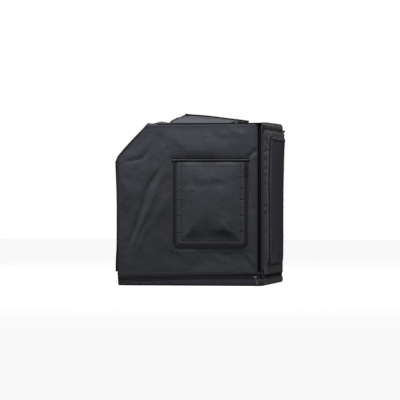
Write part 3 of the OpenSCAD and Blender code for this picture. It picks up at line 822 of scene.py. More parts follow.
def side_height(u, v, seed):
    """How far a side panel stands out: taut at its seams, baggy between them."""
    u, v = np.asarray(u), np.asarray(v)
    slack = inside(u, v, (-HALF_W, PANEL_Z, GROOVE_X, TOP_Z), 40 * MM)
    h = 1.2 * MM * slack
    for line, depth, width, crisp in SIDE_FOLDS:
        h = h + fold(u, v, line, depth, width, crisp)
    h = h + slack * (2.2 * MM * noise(u, v, 0.085, seed) + 1.0 * MM * noise(u, v, 0.032, seed + 1))
    border = 12 * MM
    h = h * (1 - 0.9 * inside(u, v, grown(FLAP_BOX, border), border))
    above = smooth(v, FLAP_BOX[3] + 4 * MM, FLAP_BOX[3] + 34 * MM)
    above = above * falls(v, FLAP_BOX[3] + 34 * MM, TOP_Z - 20 * MM)
    h = h + 3.4 * MM * above * np.exp(-((u - 0.05) / 0.10) ** 2)
    across = smooth(u, FLAP_X0 - 30 * MM, FLAP_X0) * falls(u, FLAP_X1, FLAP_X1 + 30 * MM)
    overhang = np.exp(-((v - FLAP_TOP - 9 * MM) / (5.5 * MM)) ** 2)
    below = falls(v, FLAP_Z0 - 26 * MM, FLAP_Z0 - 1 * MM) * smooth(v, PANEL_Z + 4 * MM, PANEL_Z + 50 * MM)
    h = h - across * (1.4 * MM * overhang + 3.0 * MM * below)
    h = h + 1.0 * MM * np.exp(-((v - TOP_Z + 8 * MM) / (3 * MM)) ** 2)
    top_roll = smooth(v, TOP_Z - 7 * MM, TOP_Z + 3 * MM)
    groove_roll = smooth(u, GROOVE_X - 11 * MM, GROOVE_X + 4 * MM)
    return h - 3.2 * MM * top_roll ** 2 - 6.0 * MM * groove_roll ** 2


CURTAIN_SLOPE = np.array([0, 0.15, 0.35, 0.6, 0.8, 1.0])
CURTAIN_SLOPE_OUT = np.array([7.6, 8.2, 7.8, 6.0, 3.4, 2.4]) * MM


def slope_edge(inset, first=0.0, last=1.0):
    """The side panel's edge along the slope: a fin that carries the curtain's side."""
    share = np.linspace(first, last, 12)
    out = np.interp(share, CURTAIN_SLOPE, CURTAIN_SLOPE_OUT) - inset
    x = -HALF_W + UP_SLOPE[0] * share * SLOPE_LENGTH + OFF_SLOPE[0] * out
    return np.column_stack([x, BEND_Z + UP_SLOPE[2] * share * SLOPE_LENGTH + OFF_SLOPE[2] * out])


SIDE_OUTLINE = [
    (-HALF_W + 0.5 * MM, PANEL_Z - 4 * MM), (GROOVE_X + 2.6 * MM, PANEL_Z - 4 * MM),
    (GROOVE_X + 2.6 * MM, TOP_Z - 0.8 * MM), (SLOPE_TOP_X + 1 * MM, TOP_Z - 0.8 * MM),
    *slope_edge(2.6 * MM, 0.02, 0.98)[::-1],
]


def side_panel(key, seed):
    panel = sheet(
        f"{key}_side_fabric", FACES[key], SIDE_OUTLINE, [flap_line(TAPE_W - 1.5 * MM, closed=True)],
        lambda u, v: side_height(u, v, seed), 4.5 * MM,
    )
    fit_out(panel, FABRICS[key], "cover", "cover_fabric", f"{key}_side_panel")
    return panel


# ---- Zippers ----

COIL_PITCH = 2.4 * MM


def coil(name, path, normals, width, height, closed=False):
    """Half of a nylon zipper's coil: a bead with a ridge for each turn."""
    run = np.concatenate([[0], np.cumsum(np.linalg.norm(np.diff(path, axis=0), axis=1))])
    ridges = 0.66 + 0.34 * np.abs(np.cos(math.pi * run / COIL_PITCH))
    half = width / 2
    section = [
        (-half, 0), (half, 0), (half, 0.55 * height),
        (0.4 * half, height), (-0.4 * half, height), (-half, 0.55 * height),
    ]
    return sweep(name, path, normals, section, closed, scale=ridges)


def face_path(face, line, h=0.0, step=4 * MM):
    """A line on a face, lifted by a height or by a function of u and v."""
    return face.along(spaced(line, step), h)


def leaf_zipper(name, face, line, leaf_body, frame_node, leaf_node, height, stop):
    """Both halves of the zipper round a leaf, as tapes and coils that lie at the height given.

    stop is an axis and a place on it, at which the leaf's half ends short of the hinge.
    """
    halves = (("cover", 1, f"{name}_zip_fixed", frame_node), (leaf_body, -1, f"{name}_zip_moving", leaf_node))
    for body, out, piece, node in halves:

        def path(grow, above, step):
            run = spaced(line(out * grow), 0.5 * MM)
            run = spaced(run[run[:, stop[0]] < stop[1]] if out < 0 else run, step)
            return face.along(run, lambda u, v: height(u, v) + above)

        tape = sweep(
            f"{piece}_tape", path((TAPE_W + ZIP_GAP) / 2, -0.3 * MM, 4 * MM), face.n,
            band_section(TAPE_W - ZIP_GAP, 0.9 * MM, sunk=0.3 * MM),
        )
        fit_out(tape, ZIP_TAPE, body, "zipper_tape", node)
        teeth = coil(
            f"{piece}_coil", path((COIL_W + ZIP_GAP) / 2, 0.5 * MM, COIL_PITCH / 4), face.n,
            COIL_W - ZIP_GAP, COIL_H - 0.5 * MM,
        )
        fit_out(teeth, ZIP_COIL, body, "zipper_coil")


# ---- Side flaps ----

FLAP_HEM = 13 * MM
FLAP_IN = 5.5 * MM
FLAP_LEFT, FLAP_FOOT = FLAP_X0 + 5.0 * MM, FLAP_Z0 - 2.6 * MM
FLAP_FOLD = on_side("flap_fold", "near_flap_panel")
FOLD_U, FOLD_V = FLAP_FOLD[0] / MM, FLAP_FOLD[1] / MM
FLAP_FOLDS = [
    ([(FOLD_U - 11, FOLD_V - 13), (FOLD_U - 2, FOLD_V - 1), (FOLD_U + 7, FOLD_V + 13)], -3.2, 3.4, 0.6),
    ([(-14, 290), (0, 296), (20, 294)], 1.2, 7.0, 0.3),
    ([(-2, 320), (8, 306), (18, 288)], 1.2, 5.0, 0.3),
    ([(-16, 318), (30, 308), (84, 312), (142, 306)], -1.5, 13.0, 0.0),
    ([(112, 146), (128, 134), (148, 122)], -2.6, 3.2, 0.6),
    ([(106, 128), (124, 138), (146, 152)], 2.2, 3.4, 0.5),
    ([(96, 170), (112, 150), (124, 138)], -2.0, 4.0, 0.5),
    ([(126, 152), (138, 138), (152, 128)], 1.8, 3.6, 0.4),
    ([(-20, 150), (0, 168), (18, 196)], 1.6, 7.0, 0.2),
    ([(136, 150), (118, 176), (92, 204)], 1.6, 8.0, 0.2),
    ([(60, 350), (80, 330), (120, 322)], 1.2, 9.0, 0.1),
]
HEM_PUCKERS = [  # from the zipper's side to the stitches: fabric steps up above each line
    ((-46, 284), (-24, 296)), ((-46, 262), (-24, 264)), ((-46, 214), (-24, 218)), ((-46, 166), (-24, 162)),
    ((178, 300), (154, 296)), ((178, 264), (154, 266)), ((178, 214), (154, 217)), ((178, 170), (154, 166)),
    ((178, 330), (154, 334)), ((18, 116), (24, 144)), ((66, 116), (62, 144)), ((118, 116), (124, 144)),
]
FLAP_DENT = on_side("flap_dent", "near_flap_panel")


def flap_height(u, v, seed):
    """A side flap's hem, its stitched edge and the slack fabric inside them."""
    u, v = np.asarray(u), np.asarray(v)
    from_edge = np.minimum(np.minimum(u - FLAP_LEFT, FLAP_X1 - u), v - FLAP_FOOT)
    hem = smooth(from_edge, FLAP_IN - 0.5 * MM, FLAP_IN + 2.5 * MM)
    crown = np.sin(math.pi * np.clip((from_edge - FLAP_IN) / FLAP_HEM, 0, 1))
    stitch = np.exp(-((from_edge - FLAP_IN - FLAP_HEM + 1 * MM) / (1.3 * MM)) ** 2)
    h = 1.6 * MM * hem + 0.2 * MM * crown - 0.8 * MM * stitch
    for a, b in HEM_PUCKERS:
        h = h + fold(u, v, [a, b], -1.5, 1.8, 0.5, fade=0.1)
        above = [(a[0], a[1] + 3.5), (b[0], b[1] + 3.5)]
        h = h + fold(u, v, above, 1.0, 2.6, 0.2, fade=0.1)
    middle = smooth(from_edge, FLAP_IN + FLAP_HEM - 3 * MM, FLAP_IN + FLAP_HEM + 36 * MM)
    slack = 0.9 * MM + 1.1 * MM * noise(u, v, 0.06, seed) + 0.6 * MM * noise(u, v, 0.025, seed + 1)
    for line, depth, width, crisp in FLAP_FOLDS:
        slack = slack + fold(u, v, line, depth, width, crisp)
    bag = np.sin(math.pi * np.clip((v - FLAP_Z0) / (FLAP_Z1 - FLAP_Z0), 0, 1) ** 0.8)
    below = FLAP_DENT[1] - v - 0.85 * np.abs(u - FLAP_DENT[0])
    dent = 6.5 * MM * smooth(below, -22 * MM, 84 * MM)
    h = h + middle * (slack + 8.0 * MM * bag - dent + 2.2 * MM * falls(v, FLAP_TOP - 50 * MM, FLAP_TOP))
    top = smooth(v, FLAP_TOP - 9 * MM, FLAP_TOP)
    return h * (1 - top) + 0.2 * MM * top


def side_flap(key, seed):
    face = FACES[key]
    flap = sheet(
        f"{key}_flap_fabric", face, leaf_line(
            FLAP_X0 + FLAP_IN, FLAP_X1 - FLAP_IN, FLAP_FOOT + FLAP_IN, FLAP_TOP, 0, "top", closed=True,
        ), [], lambda u, v: flap_height(u, v, seed), 3.2 * MM,
    )
    fit_out(flap, FLAP_FABRICS[key], f"{key}_flap", "flap_fabric", f"{key}_flap_panel")
    inset = FLAP_IN + FLAP_HEM - 1 * MM
    line = leaf_line(FLAP_LEFT + inset, FLAP_X1 - inset, FLAP_FOOT + inset, FLAP_TOP - 2 * MM, 0, "top")
    path = face_path(face, line, lambda u, v: flap_height(u, v, seed) + 0.3 * MM)
    row = stitches(f"{key}_flap_stitches", path, face.n, 4.2 * MM, 2.2 * MM, 1.5 * MM)
    fit_out(row, STITCH_THREAD, f"{key}_flap", "flap_fabric")
    leaf_zipper(
        f"{key}_flap", face, flap_line, f"{key}_flap", f"{key}_flap_zip_frame", f"{key}_flap_zip_leaf",
        lambda u, v: 0 * u, (1, FLAP_TOP - 0.8 * MM),
    )
    u0, u1 = FLAP_X0 - TAPE_W - 3 * MM, FLAP_X1 + TAPE_W + 3 * MM
    # The two near-black bands beside the welt are painted shadow: one under the welt, one under the fabric that
    # overhangs above it.
    for piece, v, stand, width, height, material in (
        ("hinge_welt", FLAP_TOP + 4.8 * MM, -0.6 * MM, 5.4 * MM, 1.8 * MM, FABRICS[key]),
        ("lower_seam", FLAP_TOP + 0.6 * MM, 0.3 * MM, 3.0 * MM, 1.0 * MM, SHADE_AND_BINDING_CLOTH),
        ("upper_seam", FLAP_TOP + 9.2 * MM, -0.6 * MM, 3.6 * MM, 0.9 * MM, SHADE_AND_BINDING_CLOTH),
    ):
        welt = sweep(
            f"{key}_flap_{piece}", face_path(face, [(u0, v), (u1, v)], stand), face.n,
            band_section(width, height, 0.8, sunk=0.6 * MM),
        )
        fit_out(welt, material, "cover", "cover_fabric")
    return flap


side_panel("near", 11)
side_panel("far", 47)
NEAR_SEED = 21
side_flap("near", NEAR_SEED)
side_flap("far", 57)

# ---- The base: tray wall, zipper and the cover's hem, which rise and fall a little ----

NEAR_X = np.array([-225, -173, -110, -31, 26, 127, 190, 225]) * MM
NEAR_ZIP = np.array([-6.5, -3.8, -2.2, -0.5, 0.8, 2.0, 1.6, 0.0]) * MM
NEAR_HEM = np.array([25.0, 27.0, 28.5, 30.5, 32.0, 34.5, 35.5, 35.5]) * MM
NEAR_HEM_TOP = np.array([38.0, 38.6, 39.6, 42.0, 44.0, 44.5, 44.5, 44.0]) * MM
NEAR_TRAY = np.array([10.5, 16.5, 19.0, 21.5, 23.0, 25.0, 25.5, 23.5]) * MM
PLAIN_HEM, PLAIN_HEM_TOP, PLAIN_TRAY = 31.5 * MM, 42 * MM, 22 * MM


def near_share(x, y):
    """1 on the near side, fading round its corners to 0 on the others."""
    return 1 - smooth(y, -HALF_D, -HALF_D + 60 * MM)


def by_side(x, y, values, plain, seed):
    """The near side's own heights, and plain ones with a little waviness on the other sides."""
    share = near_share(x, y)
    others = plain + 0.9 * MM * noise(x + y, y, 0.07, seed)
    return share * np.interp(x, NEAR_X, values) + (1 - share) * others


def zip_z(x, y):
    return ZIP_Z + by_side(x, y, NEAR_ZIP, -1.5 * MM, 5)


def hem_z(x, y):
    return by_side(x, y, NEAR_HEM, PLAIN_HEM, 6)


def hem_top_z(x, y):
    return by_side(x, y, NEAR_HEM_TOP, PLAIN_HEM_TOP, 7)


def tray_z(x, y):
    return by_side(x, y, NEAR_TRAY, PLAIN_TRAY, 8)


def ring(step=4 * MM):
    """Places round the body's foot, with their outward directions."""
    corners = [(-HALF_W, -HALF_D), (HALF_W, -HALF_D), (HALF_W, HALF_D), (-HALF_W, HALF_D)]
    path = spaced(rounded(corners, CORNER_R, closed=True), step, closed=True)
    along = tangents(path, True)
    return path, np.stack([along[:, 1], -along[:, 0]], axis=1)


def ring_part(start, end, step=4 * MM):
    """The ring from one place round to another, both given on straight runs."""
    corners = [(-HALF_W, -HALF_D), (-HALF_W, HALF_D)]
    if start[0] > GROOVE_X + 1 * MM:
        corners = [(HALF_W, -HALF_D), (HALF_W, HALF_D)]
    path = spaced(rounded([start, *corners, end], CORNER_R), step)
    along = tangents(path, False)
    out = np.stack([along[:, 1], -along[:, 0]], axis=1)
    middle = path.mean(0)
    return path, out if np.sum(out * (path - middle)) > 0 else -out


def strip(name, path, out, lower, upper, profile, closed):
    """A band round the foot: profile lists (share of the height, stand-off) round its section."""
    x, y = path[:, 0], path[:, 1]
    z0, z1 = lower(x, y), upper(x, y)
    rows = []
    for share, off in profile:
        rows.append(np.column_stack([x + off * out[:, 0], y + off * out[:, 1], z0 + share * (z1 - z0)]))
    verts = np.stack(rows, axis=1)
    n, m = len(path), len(profile)
    faces = []
    for i in range(n if closed else n - 1):
        a, b = i * m, (i + 1) % n * m
        faces += [(a + k, a + (k + 1) % m, b + (k + 1) % m, b + k) for k in range(m)]
    if not closed:
        faces += [tuple(range(m))[::-1], tuple((n - 1) * m + k for k in range(m))]
    obj = new_object(name, verts.reshape(-1, 3), faces)
    face_out(obj)
    return obj


def face_out(obj):
    """Turns a closed mesh's faces outwards."""
    work = bmesh.new()
    work.from_mesh(obj.data)
    bmesh.ops.recalc_face_normals(work, faces=work.faces)
    work.to_mesh(obj.data)
    work.free()


def soft_band(stand, thick=1.2 * MM):
    """A folded band's section: rounded at both edges."""
    return [
        (0.0, stand - 0.5 * thick), (0.03, stand - 0.1 * thick), (0.12, stand), (0.5, stand + 0.25 * thick),
        (0.88, stand), (0.97, stand - 0.1 * thick), (1.0, stand - 0.5 * thick), (0.97, stand - thick),
        (0.5, stand - thick), (0.03, stand - thick),
    ]


def base_tray():
    """The tray's fabric: a rounded foot, a wall that bellies out a little, and its floor."""
    path, out = ring()
    x, y = path[:, 0], path[:, 1]
    tray_top = tray_z(x, y)
    curve = 5 * MM
    belly = 3.5 * MM * smooth(x, HALF_W - 30 * MM, HALF_W)
    rows = [(-curve - 8 * MM, 0.4 * MM), (-curve, 0.15 * MM)]
    rows += [
        (-curve + curve * math.sin(a), curve - curve * math.cos(a))
        for a in np.linspace(0.25, 1.45, 5)
    ]
    shares = (0.3, 0.45, 0.62, 0.8, 0.93, 1.0)
    verts = []
    for off, z in rows:
        off = off + 0.8 * belly
        verts.append(np.column_stack([x + off * out[:, 0], y + off * out[:, 1], np.full(len(x), z)]))
    for share in shares:
        slack = 0.5 * MM * noise(x + y, y - x, 0.05, 31) * (1 - share)
        z = share * tray_top
        z = np.maximum(z, curve + share * MM)
        off = slack + (0.3 * MM + belly) * math.sin(math.pi * share)
        verts.append(np.column_stack([x + off * out[:, 0], y + off * out[:, 1], z]))
    n, m = len(path), len(verts)
    verts = np.stack(verts, axis=1).reshape(-1, 3)
    faces = [
        (i * m + k, (i + 1) % n * m + k, (i + 1) % n * m + k + 1, i * m + k + 1)
        for i in range(n) for k in range(m - 1)
    ]
    floor = len(verts)
    verts = np.concatenate([verts, [(0, 0, 0.4 * MM)]])
    faces += [((i + 1) % n * m, i * m, floor) for i in range(n)]
    tray = thicken(new_object("base_tray_fabric", verts, faces), FABRIC_T)
    fit_out(tray, FABRICS["near"], "base", "cover_fabric", "base_tray")


def base_zipper():
    """Both halves of the base zipper: tapes from the gap to the fabric, and coils along the gap."""
    path, out = ring()
    for name, body, side, edge in (("tray", "base", -1, tray_z), ("cover", "cover", 1, hem_z)):
        lines = (lambda x, y: zip_z(x, y) + side * ZIP_GAP / 2, lambda x, y: edge(x, y) + side * 1.5 * MM)
        tape = strip(f"base_zip_{name}_tape", path, out, *lines[::side], soft_band(0.3 * MM, 0.8 * MM), True)
        fit_out(tape, BASE_ZIP_TAPE, body, "zipper_tape", f"base_zip_tape_{name}")

    path, out = ring(COIL_PITCH / 4)
    x, y = path[:, 0], path[:, 1]
    for name, body, side in (("tray", "base", -1), ("cover", "cover", 1)):
        centre = np.column_stack([
            x + 0.4 * MM * out[:, 0], y + 0.4 * MM * out[:, 1],
            zip_z(x, y) + side * (COIL_W + ZIP_GAP) / 2,
        ])
        normals = np.column_stack([out, np.zeros(len(out))])
        teeth = coil(f"base_zip_{name}_coil", centre, normals, COIL_W - ZIP_GAP, COIL_H - 0.4 * MM, True)
        fit_out(teeth, BASE_ZIP_COIL, body, "zipper_coil", f"base_zip_coil_{name}")


def base_seams():
    """The narrow bands where the base zipper's tapes meet the cover and the tray: under the cover's hem a near-black
    band of painted shadow, and along the tray's top a band in the tape's colour.
    """
    path, out = ring()
    for name, body, line, rise, fall, material in (
        # The cover's near-black band is painted shadow under the hem.
        ("cover", "cover", hem_z, 0.3 * MM, 2.8 * MM, SHADE_AND_BINDING_CLOTH),
        ("tray", "base", tray_z, 0.6 * MM, 1.4 * MM, ZIP_TAPE),
    ):
        seam = strip(
            f"base_{name}_seam", path, out, lambda x, y: line(x, y) - fall, lambda x, y: line(x, y) + rise,
            soft_band(0.95 * MM, 0.7 * MM), True,
        )
        fit_out(seam, material, body, "binding_tape")


def cover_hem():
    """The cover's hem, in two lengths that stop at the groove beside the door."""
    for name, x in (("front", GROOVE_X - 1.5 * MM), ("rear", GROOVE_X + 7 * MM)):
        path, out = ring_part((x, -HALF_D), (x, HALF_D))
        hem = strip(f"cover_hem_{name}", path, out, hem_z, hem_top_z, soft_band(0.9 * MM, 0.8 * MM), False)
        fit_out(hem, HEM_CLOTH, "cover", "cover_fabric")


HEM_CLOTH = fabric("hem_cloth", (0.021, 0.0215, 0.0245), FACES["near"], sheen=0.08, level=0.12)
base_tray()
base_zipper()
base_seams()
cover_hem()

# ---- The upright corners beside the door, the groove and the door's surround ----

CORNER_PLAN = [  # x, and the depth behind the side face, in mm
    (222.3, 4.2), (222.5, 1.8), (223.0, 0.3), (224.0, -0.5), (225.2, -0.5), (226.2, 0.2), (226.8, 1.5),
    (227.0, 3.2), (226.8, 5.4), (225.8, 7.6),
]
GROOVE_PLAN = [(212.2, 2.6), (213.6, 3.4), (215.4, 3.7), (218.5, 3.8), (221.4, 3.7), (222.9, 3.0)]


def upright(name, plan, side, material, body, slot, wobble, top=TOP_Z, bottom=None):
    """A strip of fabric down a corner, drawn from its plan."""
    bottom = PANEL_Z - 3 * MM if bottom is None else bottom
    plan = np.array(plan) * MM
    zs = np.arange(bottom, top, 5 * MM)
    rows = []
    for k, (x, depth) in enumerate(plan):
        wave = wobble * noise(zs, np.full(len(zs), 0.02 * k), 0.045, 61 + int(side))
        rows.append(np.column_stack([np.full(len(zs), x), side * (HALF_D - depth + wave), zs]))
    verts = np.stack(rows, axis=1)
    n, m = len(zs), len(plan)
    faces = [
        (i * m + k, i * m + k + 1, (i + 1) * m + k + 1, (i + 1) * m + k)
        for i in range(n - 1) for k in range(m - 1)
    ]
    if side > 0:
        faces = [f[::-1] for f in faces]
    obj = thicken(new_object(name, verts.reshape(-1, 3), faces), FABRIC_T)
    return fit_out(obj, material, body, slot)


def face_bulge(u, v):
    """The whole door face swells away from its near edge, most at its top, and sinks at its hinge."""
    across = (
        0.7 * smooth(u, -HALF_D + 8 * MM, -HALF_D + 64 * MM)
        + 0.3 * smooth(u, -HALF_D + 10 * MM, HALF_D - 70 * MM)
    ) * falls(u, DOOR_Y1 - 20 * MM, DOOR_Y1)
    swell = np.interp(v, [0.04, 0.30, 0.42, 0.485], [3.0 * MM, 3.0 * MM, 5.0 * MM, 8.5 * MM])
    valley = 3.6 * MM * np.exp(-((v - DOOR_Z1 - 4.5 * MM) / (4.5 * MM)) ** 2)
    swell = swell * smooth(v, PANEL_Z, PANEL_Z + 45 * MM) * falls(v, TOP_Z - 14 * MM, TOP_Z)
    return (swell - valley) * across


def rear_rise(y):
    """How far the padded rear edge of the top stands over the top face."""
    return MM * np.interp(y, [-HALF_D, -0.15, 0.05, 0.2, HALF_D], [0.6, 2.6, 5.4, 6.0, 3.0])


def surround_height(u, v):
    """The fabric round the door, with a soft roll over its top."""
    top = TOP_Z + rear_rise(u)
    roll = smooth(v, top - 6 * MM, top + 1 * MM)
    up = np.clip((v - DOOR_Z1 - 4 * MM) / (top - DOOR_Z1 - 4 * MM), 0, 1)
    puff = np.sin(math.pi * up) * inside(u, v, (-HALF_D, -1, HALF_D, 1), 14 * MM)
    return face_bulge(u, v) + 0.35 * MM * noise(u, v, 0.03, 71) - 3.0 * MM * roll ** 2 + 3.4 * MM * puff


for key, side in (("near", -1), ("far", 1)):
    upright(f"{key}_corner_bar", CORNER_PLAN, side, ZIP_TAPE, "cover", "zipper_tape", 0.25 * MM)
    # The near-black strip down the groove beside the door is painted shade in that groove.
    upright(f"{key}_groove_lining", GROOVE_PLAN, side, SHADE_AND_BINDING_CLOTH, "cover", "binding_tape", 0.1 * MM)
SURROUND_Y = HALF_D - 4.6 * MM
surround = sheet(
    "door_surround_fabric", FACES["rear"],
    [(-SURROUND_Y, PANEL_Z - 3 * MM), (SURROUND_Y, PANEL_Z - 3 * MM)]
    + [(y, TOP_Z - 0.8 * MM + rear_rise(y)) for y in np.linspace(SURROUND_Y, -SURROUND_Y, 24)],
    [door_line(TAPE_W - 1.5 * MM, closed=True)], surround_height, 4 * MM,
)
fit_out(surround, FABRICS["rear"], "cover", "cover_fabric", "rear_surround")

# ---- The door ----

DOOR_IN = 5.5 * MM
DOOR_RAMP_Y, DOOR_RAMP_Z, DOOR_RAMP_HINGE = 34 * MM, 15 * MM, 34 * MM
DOOR_FOOT = DOOR_Z0 - 17 * MM
OPEN_Y0, OPEN_Y1 = WINDOW_Y0 + 8 * MM, WINDOW_Y1 - 2 * MM
OPEN_Z0, OPEN_Z1 = WINDOW_Z0 - 14 * MM, WINDOW_Z1 + 9 * MM
RIM = 6.5 * MM
DOOR_FOLDS = [
    ([(-206, 456), (-180, 436), (-160, 428)], -1.8, 5.0, 0.5),
    ([(-206, 408), (-190, 413), (-172, 421)], -2.6, 3.6, 0.6),
    ([(-206, 398), (-188, 403), (-174, 409)], 1.4, 5.0, 0.3),
    ([(-204, 386), (-178, 381)], -1.6, 4.0, 0.5),
    ([(-206, 354), (-176, 362)], -1.9, 4.0, 0.5),
    ([(-206, 343), (-180, 349)], 1.3, 6.0, 0.2),
    ([(-204, 312), (-176, 308)], -1.5, 4.0, 0.5),
    ([(-206, 240), (-188, 243), (-172, 249)], -1.8, 4.0, 0.5),
    ([(-204, 231), (-176, 234)], 1.4, 4.5, 0.3),
    ([(-206, 222), (-174, 224)], -2.2, 3.2, 0.6),
    ([(-204, 160), (-180, 166)], -1.1, 6.0, 0.3),
    ([(-200, 96), (-176, 110)], 1.0, 7.0, 0.2),
    ([(-160, 60), (-120, 74), (-60, 66)], 1.2, 7.0, 0.3),
    ([(20, 62), (80, 74), (150, 64)], 1.0, 8.0, 0.2),
    ([(-130, 474), (-60, 462), (30, 468)], -1.2, 8.0, 0.2),
]


def door_base(u, v):
    """The door's swell: quick at its top and free edge, slower below, and less towards its foot."""
    u, v = np.asarray(u), np.asarray(v)
    near = np.clip((u - DOOR_Y0 - DOOR_IN) / DOOR_RAMP_Y, 0, 1)
    hinge = np.clip((DOOR_Y1 - u) / DOOR_RAMP_HINGE, 0, 1)
    up = np.clip((DOOR_Z1 - 1 * MM - v) / DOOR_RAMP_Z, 0, 1)
    down = np.clip((v - DOOR_Z0 - DOOR_IN) / (2.5 * DOOR_RAMP_Z), 0, 1)
    rise = [np.sin(math.pi / 2 * t) ** power for t, power in ((near, 0.6), (hinge, 1.0), (up, 0.9), (down, 0.8))]
    swell = np.interp(v, [0.05, 0.12, 0.30, 0.42, 0.46, 0.5], [3.0 * MM, 4.2 * MM, 4.8 * MM, 5.5 * MM, 6.5 * MM, 6.0 * MM])
    swell = swell + 1.4 * MM * smooth(-u, -0.13, 0.10) - 3.0 * MM * smooth(u, -0.12, 0.08)
    swell = swell + 2.4 * MM * smooth(-v, -0.24, -0.08) * smooth(-u, 0.0, 0.12)
    return swell * rise[0] * rise[1] * rise[2] * rise[3] + face_bulge(u, v)


def window_rim(u, v):
    """1 over the raised rim sewn round the window."""
    to_window = np.maximum.reduce([OPEN_Y0 - u, u - OPEN_Y1, OPEN_Z0 - v, v - OPEN_Z1])
    return smooth(-to_window, -RIM - 1.5 * MM, -RIM + 1.5 * MM), to_window


def pillow(to_window):
    """The window's own swell inside its seam."""
    return 6.0 * MM * smooth(RIM - to_window, -7 * MM, 4 * MM) + 4.0 * MM * smooth(RIM - to_window, 2 * MM, 40 * MM)


def door_height(u, v):
    u, v = np.asarray(u), np.asarray(v)
    from_edge = np.minimum(np.minimum(u - DOOR_Y0, DOOR_Z1 - v), v - DOOR_FOOT)
    hem = smooth(from_edge, DOOR_IN - 0.5 * MM, DOOR_IN + 2 * MM)
    rim, to_window = window_rim(u, v)
    roll = np.exp(-((to_window - 3 * MM) / (4 * MM)) ** 2)
    seam = np.exp(-((to_window - RIM - 2 * MM) / (1.8 * MM)) ** 2)
    hem = (0.3 * MM + 1.2 * MM * hem) * smooth(-u, -DOOR_Y1, -DOOR_Y1 + 6 * MM)
    h = door_base(u, v) + hem + 1.8 * MM * rim + 0.8 * MM * roll - 1.2 * MM * seam
    border = smooth(from_edge, DOOR_IN + 1 * MM, DOOR_IN + 8 * MM) * (1 - rim) * smooth(-u, -DOOR_Y1, -DOOR_Y1 + 12 * MM)
    slack = 0.9 * MM * noise(u, v, 0.05, 81) + 0.5 * MM * noise(u, v, 0.02, 82)
    for line, depth, width, crisp in DOOR_FOLDS:
        slack = slack + fold(u, v, line, 2.4 * depth, width, crisp)
    over_zip = 3.4 * MM * smooth(-v, -DOOR_Z0 - 18 * MM, -DOOR_Z0 - 4 * MM)
    over_zip = over_zip * smooth(-u, -DOOR_Y1, -DOOR_Y1 + 12 * MM)
    return h + border * slack + 0.25 * MM * rim * noise(u, v, 0.03, 83) + pillow(to_window) + over_zip


def window_height(u, v):
    _, to_window = window_rim(u, v)
    return door_base(u, v) + pillow(to_window) + 1.2 * MM + 0.7 * MM * noise(u, v, 0.09, 84) + 0.25 * MM * noise(u, v, 0.03, 85)


rear_face = FACES["rear"]
door = sheet(
    "door_fabric", rear_face, leaf_line(
        DOOR_Y0 + DOOR_IN, DOOR_Y1 - 0.4 * MM, DOOR_FOOT + DOOR_IN, DOOR_Z1 - DOOR_IN, 0, "side", closed=True,
    ), [box_outline(OPEN_Y0, OPEN_Z0, OPEN_Y1, OPEN_Z1, 6 * MM)], door_height, 3.6 * MM,
)
fit_out(door, FLAP_FABRICS["rear"], "door", "flap_fabric", "door_panel")
pane = sheet(
    "door_window_film", rear_face, box_outline(OPEN_Y0 - 6 * MM, OPEN_Z0 - 6 * MM, OPEN_Y1 + 6 * MM, OPEN_Z1 + 6 * MM),
    [], window_height, 4.5 * MM, 0.6 * MM,
)
fit_out(pane, WINDOW_FILM, "door", "window_film", "door_window")
rows = [
    stitches("door_edge_stitches", face_path(rear_face, door_line(-DOOR_IN - 10 * MM), door_height), rear_face.n),
    stitches("door_window_stitches_outer", face_path(
        rear_face, spaced(box_outline(OPEN_Y0 - 12 * MM, OPEN_Z0 - 12 * MM, OPEN_Y1 + 12 * MM, OPEN_Z1 + 12 * MM, 12 * MM), 4 * MM, True),
        door_height), rear_face.n),
    stitches("door_window_stitches_inner", face_path(
        rear_face, spaced(box_outline(OPEN_Y0 - 3 * MM, OPEN_Z0 - 3 * MM, OPEN_Y1 + 3 * MM, OPEN_Z1 + 3 * MM, 8 * MM), 4 * MM, True),
        door_height), rear_face.n),
]
for row in rows:
    fit_out(row, STITCH_THREAD, "door", "flap_fabric")
border = RIM + 1.6 * MM
WINDOW_SEAM = (OPEN_Y0 - border, OPEN_Z1 + border)
u0, v0, u1, v1 = OPEN_Y0 - border, OPEN_Z0 - border, OPEN_Y1 + border, OPEN_Z1 + border
# The near-black band round the window's rim is painted shadow in the seam's step; the foot welt is the door's fabric.
for piece, line, width, height, material in (
    ("seam", rounded([(u0, v0), (u0, v1), (u1, v1), (u1, v0)], 8 * MM), 3.2 * MM, 1.4 * MM, SHADE_AND_BINDING_CLOTH),
    ("foot_welt", [(u0, v0), (u1, v0)], 4.0 * MM, 2.4 * MM, FLAP_FABRICS["rear"]),
):
    line = spaced(line, 4 * MM)
    lift = door_height(line[:, 0], line[:, 1]) - 0.2 * MM
    seam = sweep(
        f"door_window_{piece}", rear_face.lift(line[:, 0], line[:, 1], lift), rear_face.n,
        band_section(width, height, 0.8, 2 * MM),
    )
    fit_out(seam, material, "door", "flap_fabric")


leaf_zipper("door", rear_face, door_line, "door", "door_zip_frame", "door_zip_leaf", door_base, (0, DOOR_Y1 - 4 * MM))

# ---- Top panel and its opening ----

LID_LAP = 22 * MM
HOLE = (LID_X0 + LID_LAP, LID_Y0 + LID_LAP, LID_X1 - LID_LAP, LID_Y1 - LID_LAP)


